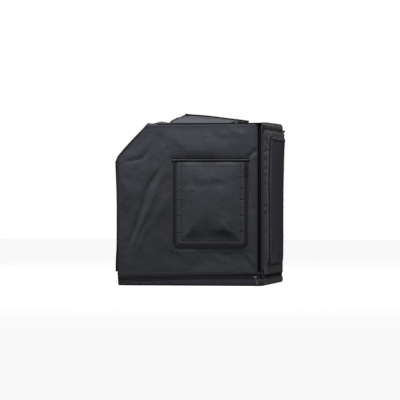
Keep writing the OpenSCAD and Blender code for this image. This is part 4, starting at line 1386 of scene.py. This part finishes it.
def top_height(u, v):
    u, v = np.asarray(u), np.asarray(v)
    slack = inside(u, v, (SLOPE_TOP_X, -HALF_D, HALF_W, HALF_D), 38 * MM)
    front = smooth(-u, -SLOPE_TOP_X - 22 * MM, -SLOPE_TOP_X + 1 * MM)
    near = smooth(np.abs(v), HALF_D - 8 * MM, HALF_D + 1 * MM)
    rear = smooth(u, HALF_W - 9 * MM, HALF_W + 1 * MM)
    free = 1 - smooth(u, LID_X0 - 30 * MM, LID_X0 - 2 * MM) * smooth(-v, -40 * MM, 60 * MM)
    h = slack * (-0.6 * MM + 7.5 * MM * free + 1.0 * MM * noise(u, v, 0.09, 91) + 0.5 * MM * noise(u, v, 0.035, 92))
    h = h + rear_rise(v) * smooth(u, HALF_W - 60 * MM, HALF_W - 6 * MM)
    return h - 4.0 * MM * front ** 2 - 0.4 * MM * near ** 2 - 1.4 * MM * rear ** 2


top = sheet(
    "top_fabric", FACES["top"], box_outline(SLOPE_TOP_X - 1 * MM, -HALF_D + 0.6 * MM, HALF_W - 0.6 * MM, HALF_D - 0.6 * MM),
    [box_outline(*HOLE)], top_height, 5 * MM,
)
fit_out(top, FABRICS["top"], "cover", "cover_fabric", "top_panel")


def edge_tape(name, face, line, width, height, closed, body, material=None, slot="binding_tape", stand=0.0, nodes=()):
    """A sewn tape along a line on a face."""
    path = spaced(line, 4 * MM, closed)
    lift = stand(path[:, 0], path[:, 1]) if callable(stand) else stand
    tape = sweep(name, face.lift(path[:, 0], path[:, 1], lift), face.n, band_section(width, height, 0.8, 0.8 * MM), closed)
    return fit_out(tape, material or BINDING_CLOTH, body, slot, *nodes)


edge_tape("top_opening_binding", FACES["top"], box_outline(HOLE[0] - 2 * MM, HOLE[1] - 2 * MM, HOLE[2] + 2 * MM, HOLE[3] + 2 * MM), 7 * MM, 1.0 * MM, True, "cover", stand=top_height)

# ---- Top flap: a sheet whose free corners curl up ----

LID_LIFT_FRONT, LID_LIFT_REAR = 33.0 * MM, 10.4 * MM


def lid_height(x, y):
    """Height of the top flap's underside over the top face."""
    s = (np.asarray(x) - LID_X0) / (LID_X1 - LID_X0)
    t = (np.asarray(y) - LID_Y0) / (LID_Y1 - LID_Y0)
    lift = LID_LIFT_FRONT + (LID_LIFT_REAR - LID_LIFT_FRONT) * s + 1.8 * MM * np.sin(math.pi * np.clip(s, 0, 1)) * (1 - 0.5 * s)
    crease = fold(x, y, [(-40, 110), (20, 20), (60, -120)], -1.6, 16.0, 0.2) + fold(x, y, [(-58, 60), (0, 84), (110, 112)], 1.4, 9.0, 0.3)
    t = np.clip(t, 0, 1)
    rise = t ** (0.75 + 0.15 * np.clip(s, 0, 1))
    crumple = 1.6 * MM * noise(x, y, 0.06, 101) + 0.8 * MM * noise(x, y, 0.025, 102)
    return LID_Z - TOP_Z + lift * rise + (crease + crumple) * smooth(t, 0, 0.2) * (1 - 0.7 * smooth(t, 0.9, 1.0))


LID_EDGE = [
    (LID_X1 - 3 * MM, LID_Y0), (LID_X1 - 3 * MM, LID_Y1 - 3 * MM), (LID_X0 - 5 * MM, LID_Y1 - 3 * MM), (LID_X0 + 3 * MM, LID_Y0),
]
lid = sheet("top_flap_fabric", FACES["top"], LID_EDGE[::-1], [], lambda u, v: lid_height(u, v) + FABRIC_T, 4 * MM)
fit_out(lid, FLAP_FABRICS["top"], "lid", "flap_fabric", "lid_panel")
path = spaced(rounded(LID_EDGE, 5 * MM), 4 * MM)
far = smooth(path[:, 1], LID_Y1 - 26 * MM, LID_Y1 - 8 * MM)
tape = sweep(
    "top_flap_binding", FACES["top"].lift(path[:, 0], path[:, 1], lid_height(path[:, 0], path[:, 1]) + 0.8 * MM + 1.2 * MM * far), Z_AXIS,
    wrap_section(5.6 * MM, 7.4 * MM), scale=0.5 + 0.5 * far,
)
fit_out(tape, SHADE_AND_BINDING_CLOTH, "lid", "binding_tape", "lid_binding")
tab = spaced([(LID_X0 - 1 * MM, LID_Y1 - 58 * MM), (LID_X0 + 16 * MM, LID_Y1 - 54 * MM)], 4 * MM)
tape = sweep(
    "top_flap_corner_tab", FACES["top"].lift(tab[:, 0], tab[:, 1], lid_height(tab[:, 0], tab[:, 1]) + FABRIC_T), Z_AXIS,
    wrap_section(6 * MM, 4 * MM),
)
fit_out(tape, BINDING_CLOTH, "lid", "binding_tape")
row = spaced(rounded([
    (LID_X1 - 9 * MM, LID_Y0), (LID_X1 - 9 * MM, LID_Y1 - 9 * MM), (LID_X0 + 9 * MM, LID_Y1 - 9 * MM), (LID_X0 + 9 * MM, LID_Y0),
], 4 * MM), 4 * MM)
row = stitches("top_flap_stitches", FACES["top"].lift(row[:, 0], row[:, 1], lid_height(row[:, 0], row[:, 1]) + FABRIC_T), Z_AXIS)
fit_out(row, STITCH_THREAD, "lid", "flap_fabric")


def pad(name, face, box, base, thickness, body, nodes=()):
    """A hook or loop patch with rounded corners, which follows what carries it."""
    outline = box_outline(*box, 2 * MM)
    obj = sheet(name, face, outline, [], lambda u, v: base(u, v) + thickness, 5 * MM, thickness)
    return fit_out(obj, HOOKS, body, "hook_and_loop", *nodes)


HOOK_T = 0.8 * MM
for node, body, base in (
    ("lid_hook_patches", "cover", lambda u, v: top_height(u, v) * 0 + 0.1 * MM),
    ("lid_loop_patches", "lid", lambda u, v: lid_height(u, v) - HOOK_T - 0.1 * MM),
):
    lo, hi = low(node), high(node)
    length = 60 * MM
    for i, x in enumerate((lo.x, hi.x - length)):
        pad(f"{node}_{i}", FACES["top"], (x, lo.y, x + length, hi.y), base, HOOK_T, body, (node,) if i == 0 else ())

# ---- Sloped and front panels with their viewing windows ----

WINDOW_BORDER = 42 * MM


def flat_panel(name, key, box, hole, seed, node, rolls):
    def height(u, v):
        slack = inside(u, v, box, 25 * MM)
        h = slack * (0.5 * MM * noise(u, v, 0.06, seed) + 0.3 * MM * noise(u, v, 0.025, seed + 1))
        for sign, edge in rolls:
            h = h - 2.0 * MM * smooth(sign * v, sign * edge - 6 * MM, sign * edge + 1 * MM) ** 2
        return h - 0.8 * MM

    panel = sheet(name, FACES[key], box_outline(*box), [box_outline(*hole, 5 * MM)], height, 5 * MM)
    fit_out(panel, FABRICS[key], "cover", "cover_fabric", node)
    for inset in (2.5 * MM, 9 * MM):
        line = box_outline(hole[0] - inset, hole[1] - inset, hole[2] + inset, hole[3] + inset, 5 * MM)
        line = spaced(line, 4 * MM, True)
        row = stitches(f"{name}_stitches_{round(inset / MM)}", FACES[key].lift(line[:, 0], line[:, 1], height(line[:, 0], line[:, 1])), FACES[key].n)
        fit_out(row, STITCH_THREAD, "cover", "cover_fabric")
    return panel


EDGE = 1.5 * MM
slope_box = (-HALF_D + EDGE, 0.5 * MM, HALF_D - EDGE, SLOPE_LENGTH - 0.5 * MM)
slope_hole = (-HALF_D + WINDOW_BORDER, WINDOW_BORDER, HALF_D - WINDOW_BORDER, SLOPE_LENGTH - WINDOW_BORDER)
flat_panel("slope_fabric", "slope", slope_box, slope_hole, 111, "slope_panel", ())
front_box = (-HALF_D + EDGE, PANEL_Z - 3 * MM, HALF_D - EDGE, BEND_Z - 0.5 * MM)
front_hole = (-HALF_D + WINDOW_BORDER, PANEL_Z + WINDOW_BORDER, HALF_D - WINDOW_BORDER, BEND_Z - WINDOW_BORDER)
flat_panel("front_fabric", "front", front_box, front_hole, 121, "front_panel", ())
for name, key, hole, node in (("slope", "slope", slope_hole, "slope_window"), ("front", "front", front_hole, "front_window")):
    lap = 7 * MM
    box = (hole[0] - lap, hole[1] - lap, hole[2] + lap, hole[3] + lap)
    glass = sheet(
        f"{name}_window_film", FACES[key], box_outline(*box), [],
        lambda u, v: -2.4 * MM + 0.5 * MM * noise(u, v, 0.08, 131), 8 * MM, 0.5 * MM,
    )
    fit_out(glass, WINDOW_FILM, "cover", "window_film", node)

# ---- Curtain: one sheet from the seam at the slope's top to its foot in front ----

CURTAIN_FOOT = low("curtain_lower").z
CURTAIN_HALF = high("curtain_lower").y
CURTAIN_T = 1.6 * MM
CURTAIN_OUT_Z = np.array([43, 60, 90, 109, 136, 175, 246, 292, 338, 384]) * MM
CURTAIN_OUT = np.array([5.6, 5.9, 5.0, 3.6, 2.9, 2.7, 2.7, 3.6, 5.2, 7.2]) * MM
def curtain_line(rows=96):
    """The curtain's outer line seen from the side: down the slope, round the bend and down the front."""
    along = np.array([UP_SLOPE[0], UP_SLOPE[2]])
    off = np.array([OFF_SLOPE[0], OFF_SLOPE[2]])
    bend = np.array([-HALF_W, BEND_Z])
    slope = [
        bend + along * s + off * np.interp(s / SLOPE_LENGTH, CURTAIN_SLOPE, CURTAIN_SLOPE_OUT)
        for s in np.linspace(SLOPE_LENGTH - 2 * MM, 8 * MM, 30)
    ]
    front = [
        np.array([-HALF_W - np.interp(z, CURTAIN_OUT_Z, CURTAIN_OUT), z])
        for z in np.linspace(BEND_Z - 6 * MM, CURTAIN_FOOT, 64)
    ]
    return np.array(slope + front)


CURTAIN_LINE = curtain_line()
CURTAIN_RUN = np.concatenate([[0], np.cumsum(np.linalg.norm(np.diff(CURTAIN_LINE, axis=0), axis=1))])
CURTAIN_OFF = np.column_stack([np.gradient(CURTAIN_LINE[:, 1]), -np.gradient(CURTAIN_LINE[:, 0])])
CURTAIN_OFF /= np.linalg.norm(CURTAIN_OFF, axis=1)[:, None]


def curtain_at(s, y, h=0.0):
    """Places on the curtain's outer surface at a distance down it, lifted by h."""
    s, y, h = np.broadcast_arrays(np.asarray(s, float), y, h)
    edge = 1 - smooth(np.abs(y), CURTAIN_HALF - 60 * MM, CURTAIN_HALF - 4 * MM)
    slack = 1.0 * MM + 1.5 * MM * noise(s, y, 0.11, 141) + 0.7 * MM * noise(s, y, 0.045, 142)
    hang = 2.4 * MM * noise(y, 0.12 * s, 0.09, 143) * smooth(s, 0.3 * CURTAIN_RUN[-1], CURTAIN_RUN[-1])
    off = np.maximum(slack + hang, -1.0 * MM) * edge * smooth(s, 0, 40 * MM) + h
    x, z, ox, oz = (np.interp(s, CURTAIN_RUN, values) for values in (*CURTAIN_LINE.T, *CURTAIN_OFF.T))
    return np.stack([x + ox * off, y, z + oz * off], axis=-1)


def outward(obj, direction):
    """Turns an open sheet's faces so that they look a given way."""
    total = sum((p.normal * p.area for p in obj.data.polygons), Vector())
    if total.dot(Vector(direction)) < 0:
        obj.data.flip_normals()
    return obj


def curtain_piece(name, obj, material, slot, *nodes):
    paint(obj, material)
    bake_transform(obj)
    if nodes:
        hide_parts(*nodes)
    return obj


def curtain():
    rows = np.linspace(0, CURTAIN_RUN[-1], 92)
    rows = np.unique(np.concatenate([rows, np.arange(0, 30) * 1.5 * MM + 0.148]))
    columns = np.linspace(-CURTAIN_HALF, CURTAIN_HALF, 74)
    grid = curtain_at(rows[None, :], columns[:, None])
    n, m = grid.shape[:2]
    faces = [
        (j * m + i, j * m + i + 1, (j + 1) * m + i + 1, (j + 1) * m + i)
        for j in range(n - 1) for i in range(m - 1)
    ]
    cloth = outward(new_object("curtain_fabric", grid.reshape(-1, 3), faces), (-1, 0, 0.3))
    thicken(cloth, CURTAIN_T)
    curtain_piece("curtain_fabric", cloth, FLAP_FABRICS["front"], "flap_fabric", "curtain_upper", "curtain_lower")
    inset = 3.4 * MM
    for side, name in ((-1, "near"), (1, "far")):
        path = curtain_at(rows, side * (CURTAIN_HALF - inset), -CURTAIN_T / 2)
        off = np.column_stack([np.interp(rows, CURTAIN_RUN, CURTAIN_OFF[:, 0]), np.zeros(len(rows)), np.interp(rows, CURTAIN_RUN, CURTAIN_OFF[:, 1])])
        tape = sweep(f"curtain_{name}_edge", path, off, wrap_section(7 * MM, CURTAIN_T + 0.9 * MM))
        curtain_piece(tape.name, tape, EDGE_TAPE, "binding_tape")
        line = curtain_at(rows, side * (CURTAIN_HALF - 9 * MM))
        row = stitches(f"curtain_{name}_stitches", line, off)
        curtain_piece(row.name, row, STITCH_THREAD, "flap_fabric")
    ys = np.linspace(-CURTAIN_HALF, CURTAIN_HALF, 80)
    foot = curtain_at(CURTAIN_RUN[-1] - inset, ys, -CURTAIN_T / 2)
    tape = sweep("curtain_foot_edge", foot, (-1, 0, 0), wrap_section(7 * MM, CURTAIN_T + 0.9 * MM))
    fit_out(tape, BINDING_CLOTH, "curtain_bottom", "binding_tape")
    row = stitches("curtain_foot_stitches", curtain_at(CURTAIN_RUN[-1] - 9 * MM, ys), (-1, 0, 0))
    fit_out(row, STITCH_THREAD, "curtain_bottom", "flap_fabric")

    box_lo, box_hi = low("curtain_seam"), high("curtain_seam")
    ys = np.linspace(box_lo.y, box_hi.y, 60)
    top = np.array([SLOPE_TOP_X, TOP_Z]) - 4.6 * MM * np.array([UP_SLOPE[0], UP_SLOPE[2]])
    roll = np.column_stack([np.full(60, top[0]) + 0.3 * MM * noise(ys, ys, 0.04, 151), ys, np.full(60, top[1])])
    seam = sweep("curtain_seam_tape", roll, OFF_SLOPE, band_section(10 * MM, 1.7 * MM, 0.8, 0.6 * MM))
    fit_out(seam, BINDING_CLOTH, "cover", "binding_tape", "curtain_seam")


curtain()
for node, body, out in (("curtain_hook_patches", "cover", 0.0), ("curtain_loop_patches", "curtain_bottom", 1.0 * MM)):
    lo, hi = low(node), high(node)
    ends = (-hi.y, -(hi.y - 60 * MM)), (-30 * MM, 30 * MM), (hi.y - 60 * MM, hi.y)
    for i, (u0, u1) in enumerate(ends):
        pad(f"{node}_{i}", FACES["front"], (u0, lo.z, u1, hi.z), lambda u, v: 0 * u + out, HOOK_T, body, (node,) if i == 0 else ())

# ---- Bindings along the side panels' edges ----

for key in ("near", "far"):
    face = FACES[key]
    inset = 2.4 * MM
    line = [(-HALF_W + inset, PANEL_Z - 2 * MM), (-HALF_W + inset, BEND_Z - 6 * MM), *slope_edge(4.2 * MM, 0.03, 0.97)]
    edge_tape(f"{key}_edge_binding", face, line, 3.6 * MM, 1.1 * MM, False, "cover", EDGE_TAPE, nodes=(f"{key}_binding",))
    line = [(SLOPE_TOP_X + 27 * MM, TOP_Z - 2.8 * MM), (HALF_W - 1 * MM, TOP_Z - 2.8 * MM)]
    edge_tape(f"{key}_top_binding", face, line, 3.4 * MM, 1.3 * MM, False, "cover", SHADE_AND_BINDING_CLOTH, stand=-0.5 * MM)
for name, x in (("rear", HALF_W - 2.0 * MM),):
    ys = np.array([(x, y) for y in np.linspace(-HALF_D + 2 * MM, HALF_D - 2 * MM, 90)])
    tape = sweep(f"top_{name}_binding", FACES["top"].lift(ys[:, 0], ys[:, 1], rear_rise(ys[:, 1]) - 1.4 * MM), Z_AXIS, band_section(4 * MM, 1.6 * MM, 0.8, 0.5 * MM))
    fit_out(tape, BINDING_CLOTH, "cover", "binding_tape")

# ---- Zipper sliders and pulls ----

PLATE_Z, PLATE_T, HEAD_Z = 1.9 * MM, 1.6 * MM, 6.1 * MM
PULL_Z, PULL_T = 3.8 * MM, 1.2 * MM
PULL_REACH = 25 * MM


class Seat:
    """A slider's own frame on a face: a along its travel, b across it, c out of the face."""

    def __init__(self, face, centre, turn, lift=0.0):
        self.face, self.centre, self.turn, self.rise = face, centre, math.radians(turn), lift

    def at(self, a, b, c):
        a, b, c = np.broadcast_arrays(np.asarray(a, float), b, c)
        u = self.centre[0] + a * math.cos(self.turn) - b * math.sin(self.turn)
        v = self.centre[1] + a * math.sin(self.turn) + b * math.cos(self.turn)
        return self.face.lift(u, v, self.rise + c)


def plate(name, seat, outline, z0, thickness, hole=None, edge=0.35 * MM, crown=None):
    """A flat pressed or cast plate with rounded edges and perhaps a hole."""
    loops = [np.array(outline)] + ([np.array(hole)] if hole is not None else [])
    uv, tris = flat_mesh(loops[0], loops[1:], 0.9 * MM)
    rim = np.full(len(uv), np.inf)
    for loop in loops:
        for p in spaced(loop, 0.3 * MM, True):
            rim = np.minimum(rim, np.hypot(uv[:, 0] - p[0], uv[:, 1] - p[1]))
    ease = edge * (1 - np.sqrt(np.clip(1 - (1 - np.clip(rim / (1.6 * edge), 0, 1)) ** 2, 0, 1)))
    lift = crown(uv[:, 0], uv[:, 1]) if crown else 0.0
    upper = seat.at(uv[:, 0], uv[:, 1], z0 + thickness - ease + lift)
    lower = seat.at(uv[:, 0], uv[:, 1], z0 + ease + (lift if crown else 0.0))
    n = len(uv)
    edges = {}
    for a, b, c in tris:
        for p, q in ((a, b), (b, c), (c, a)):
            edges[(p, q)] = True
    border = [(p, q) for p, q in edges if (q, p) not in edges]
    faces = [tuple(t) for t in tris] + [tuple(n + i for i in t[::-1]) for t in tris]
    faces += [(q, p, n + p, n + q) for p, q in border]
    obj = new_object(name, np.concatenate([upper, lower]), faces)
    face_out(obj)
    return obj


def slider_parts(name, seat):
    """A slider: a waisted top plate with side flanges, and a capped post that its pull turns on."""
    half_l, half_w = 5.4 * MM, 3.8 * MM
    outline = rounded([
        (-half_l, -0.62 * half_w), (-0.25 * half_l, -0.8 * half_w), (0.45 * half_l, -half_w), (half_l, -0.74 * half_w),
        (half_l, 0.74 * half_w), (0.45 * half_l, half_w), (-0.25 * half_l, 0.8 * half_w), (-half_l, 0.62 * half_w),
    ], 1.2 * MM, closed=True, per_corner=4)
    top = plate(f"{name}_plate", seat, outline, PLATE_Z, PLATE_T)
    flanges = []
    for side in (-1, 1):
        line = np.array([(a * half_l, side * half_w * b) for a, b in ((-0.85, 0.62), (-0.2, 0.76), (0.45, 0.9), (0.9, 0.78))])
        path = seat.at(line[:, 0], line[:, 1], PLATE_Z)
        flanges.append(sweep(f"{name}_flange{side}", path, seat.face.n, band_section(0.9 * MM, 0.9 * MM, 0.5, 0.2 * MM)))
    turn = np.linspace(0, 2 * math.pi, 21)[:-1]
    rings = [
        (r * np.cos(turn), r * np.sin(turn), c)
        for r, c in ((0.95, 3.2), (0.95, 5.2), (1.7, 5.35), (1.85, 5.7), (1.5, 6.1), (0.8, 6.35))
    ]
    verts = np.concatenate([seat.at(a * MM, b * MM, c * MM) for a, b, c in rings])
    faces = [
        (20 * k + i, 20 * k + (i + 1) % 20, 20 * (k + 1) + (i + 1) % 20, 20 * (k + 1) + i) for k in range(5) for i in range(20)
    ] + [tuple(range(100, 120)), tuple(range(20))[::-1]]
    post = new_object(f"{name}_post", verts, faces)
    face_out(post)
    return join(name, [top, *flanges, post])


def pull_parts(name, seat):
    """A pull: an eye round the post, a waisted neck and a paddle with a slot and a raised rim."""
    w = 3.1 * MM
    eye = rounded([(-2.5 * MM, 3.0 * MM), (-2.6 * MM, -3.4 * MM), (-1.5 * MM, -6.2 * MM), (-1.7 * MM, -8.2 * MM), (-w, -11 * MM),
                   (-w, -PULL_REACH + 1.2 * MM), (-1.6 * MM, -PULL_REACH), (1.6 * MM, -PULL_REACH), (w, -PULL_REACH + 1.2 * MM),
                   (w, -11 * MM), (1.7 * MM, -8.2 * MM), (1.5 * MM, -6.2 * MM), (2.6 * MM, -3.4 * MM), (2.5 * MM, 3.0 * MM)],
                  [1.9 * MM, 1.6 * MM, 1.4 * MM, 0.8 * MM, 1.6 * MM, 1.0 * MM, 0.9 * MM, 0.9 * MM, 1.0 * MM, 1.6 * MM, 0.8 * MM, 1.4 * MM, 1.6 * MM, 1.9 * MM],
                  closed=True, per_corner=5)
    hole = rounded([(-1.35 * MM, 1.5 * MM), (-1.35 * MM, -2.6 * MM), (1.35 * MM, -2.6 * MM), (1.35 * MM, 1.5 * MM)], 0.9 * MM, closed=True, per_corner=4)

    def crown(a, b):
        paddle = smooth(-b, 10.5 * MM, 12.5 * MM) * smooth(b, -PULL_REACH + 1.4 * MM, -PULL_REACH + 3.2 * MM) * smooth(-np.abs(a), -2.0 * MM, -1.3 * MM)
        return -0.28 * MM * paddle

    return plate(name, seat, eye, PULL_Z, PULL_T, hole, 0.3 * MM, crown)


def zip_set(name, key, travel, pull_turn, material, lift=0.0):
    """The slider and pull at a CAD slider's place. Turns are in degrees on the face."""
    lo, hi = low(f"{name}_slider"), high(f"{name}_slider")
    middle = np.array((lo + hi) / 2)
    face = FACES[key]
    centre = (float(np.dot(middle - face.origin, face.u)), float(np.dot(middle - face.origin, face.v)))
    slider = slider_parts(f"{name}_slider_body", Seat(face, centre, travel, lift))
    fit_out(slider, material, f"{name}_slider", "zipper_metal", f"{name}_slider")
    pull = pull_parts(f"{name}_pull_tab", Seat(face, centre, pull_turn, lift))
    fit_out(pull, material, f"{name}_pull", "zipper_metal", f"{name}_pull")


zip_set("base_side", "near", 0, 20, ZIP_METAL)
zip_set("base_rear", "rear", 180, 0, ZIP_METAL)
zip_set("door", "rear", 0, -90, LACQUERED, float(max(face_bulge(np.linspace(-0.15, 0.19, 9), DOOR_Z1))))
zip_set("near_flap", "near", 90, 0, LACQUERED)
zip_set("far_flap", "far", 90, 0, LACQUERED)

# ---- Frame parts that show as the CAD draws them ----

for node, material, slot in (
    ("base_board", BOARD, "stiffening_board"), ("bottom_side_rails", TUBE_STEEL, "frame_tube"),
    ("bottom_cross_rails", TUBE_STEEL, "frame_tube"), ("front_uprights", TUBE_STEEL, "frame_tube"),
    ("rear_uprights", TUBE_STEEL, "frame_tube"), ("slope_rails", TUBE_STEEL, "frame_tube"),
    ("top_side_rails", TUBE_STEEL, "frame_tube"), ("upper_cross_rails", TUBE_STEEL, "frame_tube"),
    ("bottom_connectors", PLASTIC, "connector_plastic"), ("bend_connectors", PLASTIC, "connector_plastic"),
    ("slope_top_connectors", PLASTIC, "connector_plastic"), ("rear_top_connectors", PLASTIC, "connector_plastic"),
):
    paint(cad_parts[node], material)

# ---- Floor, world and lamps ----

FLOOR_TONE = 0.2
FLOOR_GLOW = 0.92
WORLD_FILL = 0.07


def stage_floor():
    floor = new_object("studio_floor", [(-9, -9, -0.0004), (9, -9, -0.0004), (9, 9, -0.0004), (-9, 9, -0.0004)], [(0, 1, 2, 3)])
    nodes = Nodes("studio_white")
    nodes.finish(Base_Color=(FLOOR_TONE, FLOOR_TONE, FLOOR_TONE, 1), Roughness=0.95, Specular_IOR_Level=0.0)
    glow = nodes.add("ShaderNodeEmission", {"Color": (1, 1, 1, 1), "Strength": FLOOR_GLOW})
    seen = nodes.add("ShaderNodeLightPath").outputs["Is Camera Ray"]
    both = nodes.add("ShaderNodeAddShader")
    pick = nodes.add("ShaderNodeMixShader", {"Fac": seen})
    nodes.tree.links.new(nodes.shader.outputs[0], both.inputs[0])
    nodes.tree.links.new(glow.outputs[0], both.inputs[1])
    nodes.tree.links.new(nodes.shader.outputs[0], pick.inputs[1])
    nodes.tree.links.new(both.outputs[0], pick.inputs[2])
    nodes.tree.links.new(pick.outputs[0], nodes.tree.nodes["Material Output"].inputs["Surface"])
    paint(floor, nodes.material)
    floor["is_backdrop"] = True


def white_world():
    world = bpy.data.worlds.new("white_studio")
    bpy.context.scene.world = world
    world.use_nodes = True
    tree = world.node_tree
    back = tree.nodes["Background"]
    back.inputs["Color"].default_value = (1, 1, 1, 1)
    path = tree.nodes.new("ShaderNodeLightPath")
    seen = path.outputs["Is Camera Ray"]
    for other in ("Is Glossy Ray", "Is Transmission Ray"):
        either = tree.nodes.new("ShaderNodeMath")
        either.operation = "MAXIMUM"
        tree.links.new(seen, either.inputs[0])
        tree.links.new(path.outputs[other], either.inputs[1])
        seen = either.outputs[0]
    mix = tree.nodes.new("ShaderNodeMapRange")
    tree.links.new(seen, mix.inputs["Value"])
    mix.inputs["To Min"].default_value = WORLD_FILL
    mix.inputs["To Max"].default_value = 1.0
    tree.links.new(mix.outputs["Result"], back.inputs["Strength"])


def lamp(name, place, target, size, power):
    data = bpy.data.lights.new(name, "AREA")
    data.shape = "RECTANGLE"
    data.size, data.size_y = size
    data.energy = power
    obj = bpy.data.objects.new(name, data)
    bpy.context.scene.collection.objects.link(obj)
    obj.location = place
    obj.rotation_euler = (Vector(target) - Vector(place)).to_track_quat("-Z", "Y").to_euler()


def flag():
    """A dark card behind the door's side, as in a studio, so that its grazing reflections are dark."""
    corners = [(0.12, 1.0), (0.7, 1.4), (1.7, 1.6), (2.6, 1.2)]
    verts = [(x, y, z) for x, y in corners for z in (0.0, 1.6)]
    card = new_object("studio_flag", verts, [(2 * i, 2 * i + 2, 2 * i + 3, 2 * i + 1) for i in range(3)])
    nodes = Nodes("studio_black")
    paint(card, nodes.finish(Base_Color=(0.07, 0.07, 0.075, 1), Roughness=1.0, Specular_IOR_Level=0.0))
    card.visible_camera = False
    card.visible_shadow = False
    card.visible_diffuse = False
    card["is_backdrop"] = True


stage_floor()
white_world()
lamp("key", (-0.42, -0.58, 1.28), (0, -0.2, 0.2), (0.8, 0.35), 20)
lamp("front", (0.5, -0.85, 1.25), (0.1, -0.2, 0.25), (0.4, 0.3), 9)
lamp("side", (1.25, -0.5, 1.35), (0.1, 0, 0.25), (0.6, 0.6), 6)
lamp("back", (-1.3, 1.3, 1.6), (0, 0, 0.25), (1.6, 1.2), 16)
flag()
bpy.context.scene.view_settings.view_transform = "Standard"

# ---- Image points, and where the pieces they stand for show ----

def finished(*names):
    """The finished vertices of the pieces with some names, or of all of them."""
    graph = bpy.context.evaluated_depsgraph_get()
    verts = []
    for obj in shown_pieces():
        if names and not obj.name.startswith(names):
            continue
        mesh = obj.evaluated_get(graph).to_mesh()
        verts += [obj.matrix_world @ v.co for v in mesh.vertices]
        obj.evaluated_get(graph).to_mesh_clear()
    return verts


def edge_pixel(pixels, axis, sign, point):
    """The outermost pixel along an axis; across it, the nearest to the point of those that reach as far."""
    reach = sign * pixels[:, axis]
    edge = pixels[reach > reach.max() - 0.6]
    seen = edge[np.argmin(np.abs(edge[:, 1 - axis] - point[1 - axis]))]
    seen[axis] = sign * reach.max()
    return seen


REAR = FACES["rear"]
EDGES = {
    "object_left": (0, -1), "object_right": (0, 1), "object_top": (1, -1), "object_bottom": (1, 1),
    "curtain_foot": (1, 1, "curtain"), "base_pull_tip": (1, 1, "base_side_pull"),
    "top_flap_rear_corner": (0, 1, "top_flap"),
}
BODY_CORNERS = {
    "near_rear_top_corner": (HALF_W, -HALF_D, TOP_Z), "near_rear_foot": (HALF_W, -HALF_D, 0),
    "near_front_foot": (-HALF_W, -HALF_D, 0), "far_rear_top_corner": (HALF_W, HALF_D, TOP_Z),
    "far_rear_foot": (HALF_W, HALF_D, 0), "slope_top_corner": (SLOPE_TOP_X, -HALF_D, TOP_Z),
}
FEATURES = {
    "flap_zip_top_left": FACES["near"].lift(FLAP_X0, FLAP_Z1, 0),
    "flap_zip_bottom_right": FACES["near"].lift(FLAP_X1, FLAP_Z0, 0),
    "flap_dent": FACES["near"].lift(*FLAP_DENT, flap_height(*FLAP_DENT, NEAR_SEED)),
    "flap_fold": FACES["near"].lift(*FLAP_FOLD, flap_height(*FLAP_FOLD, NEAR_SEED)),
    "door_zip_corner": REAR.lift(DOOR_Y0, DOOR_Z1, door_base(DOOR_Y0, DOOR_Z1)),
    "door_window_corner": REAR.lift(WINDOW_SEAM[0], WINDOW_SEAM[1], door_height(*WINDOW_SEAM)),
}


def write_points():
    """Finds where each thing shows in the frame for each image point; the results are not kept."""
    verts = finished()
    tree = KDTree(len(verts))
    for i, vert in enumerate(verts):
        tree.insert(vert, i)
    tree.balance()
    for name, point in POINTS.items():
        if name in EDGES:
            axis, sign, *pieces = EDGES[name]
            shown = finished(*pieces) if pieces else verts
            seen = edge_pixel(np.array([to_pixel(v) for v in shown]), axis, sign, point)
        elif name == "base_slider":
            shown = np.array([to_pixel(v) for v in finished("base_side_slider")])
            seen = (shown.min(0) + shown.max(0)) / 2
        elif name in BODY_CORNERS:
            seen = to_pixel(tree.find(BODY_CORNERS[name])[0])
        else:
            seen = to_pixel(np.ravel(FEATURES[name]))


write_points()
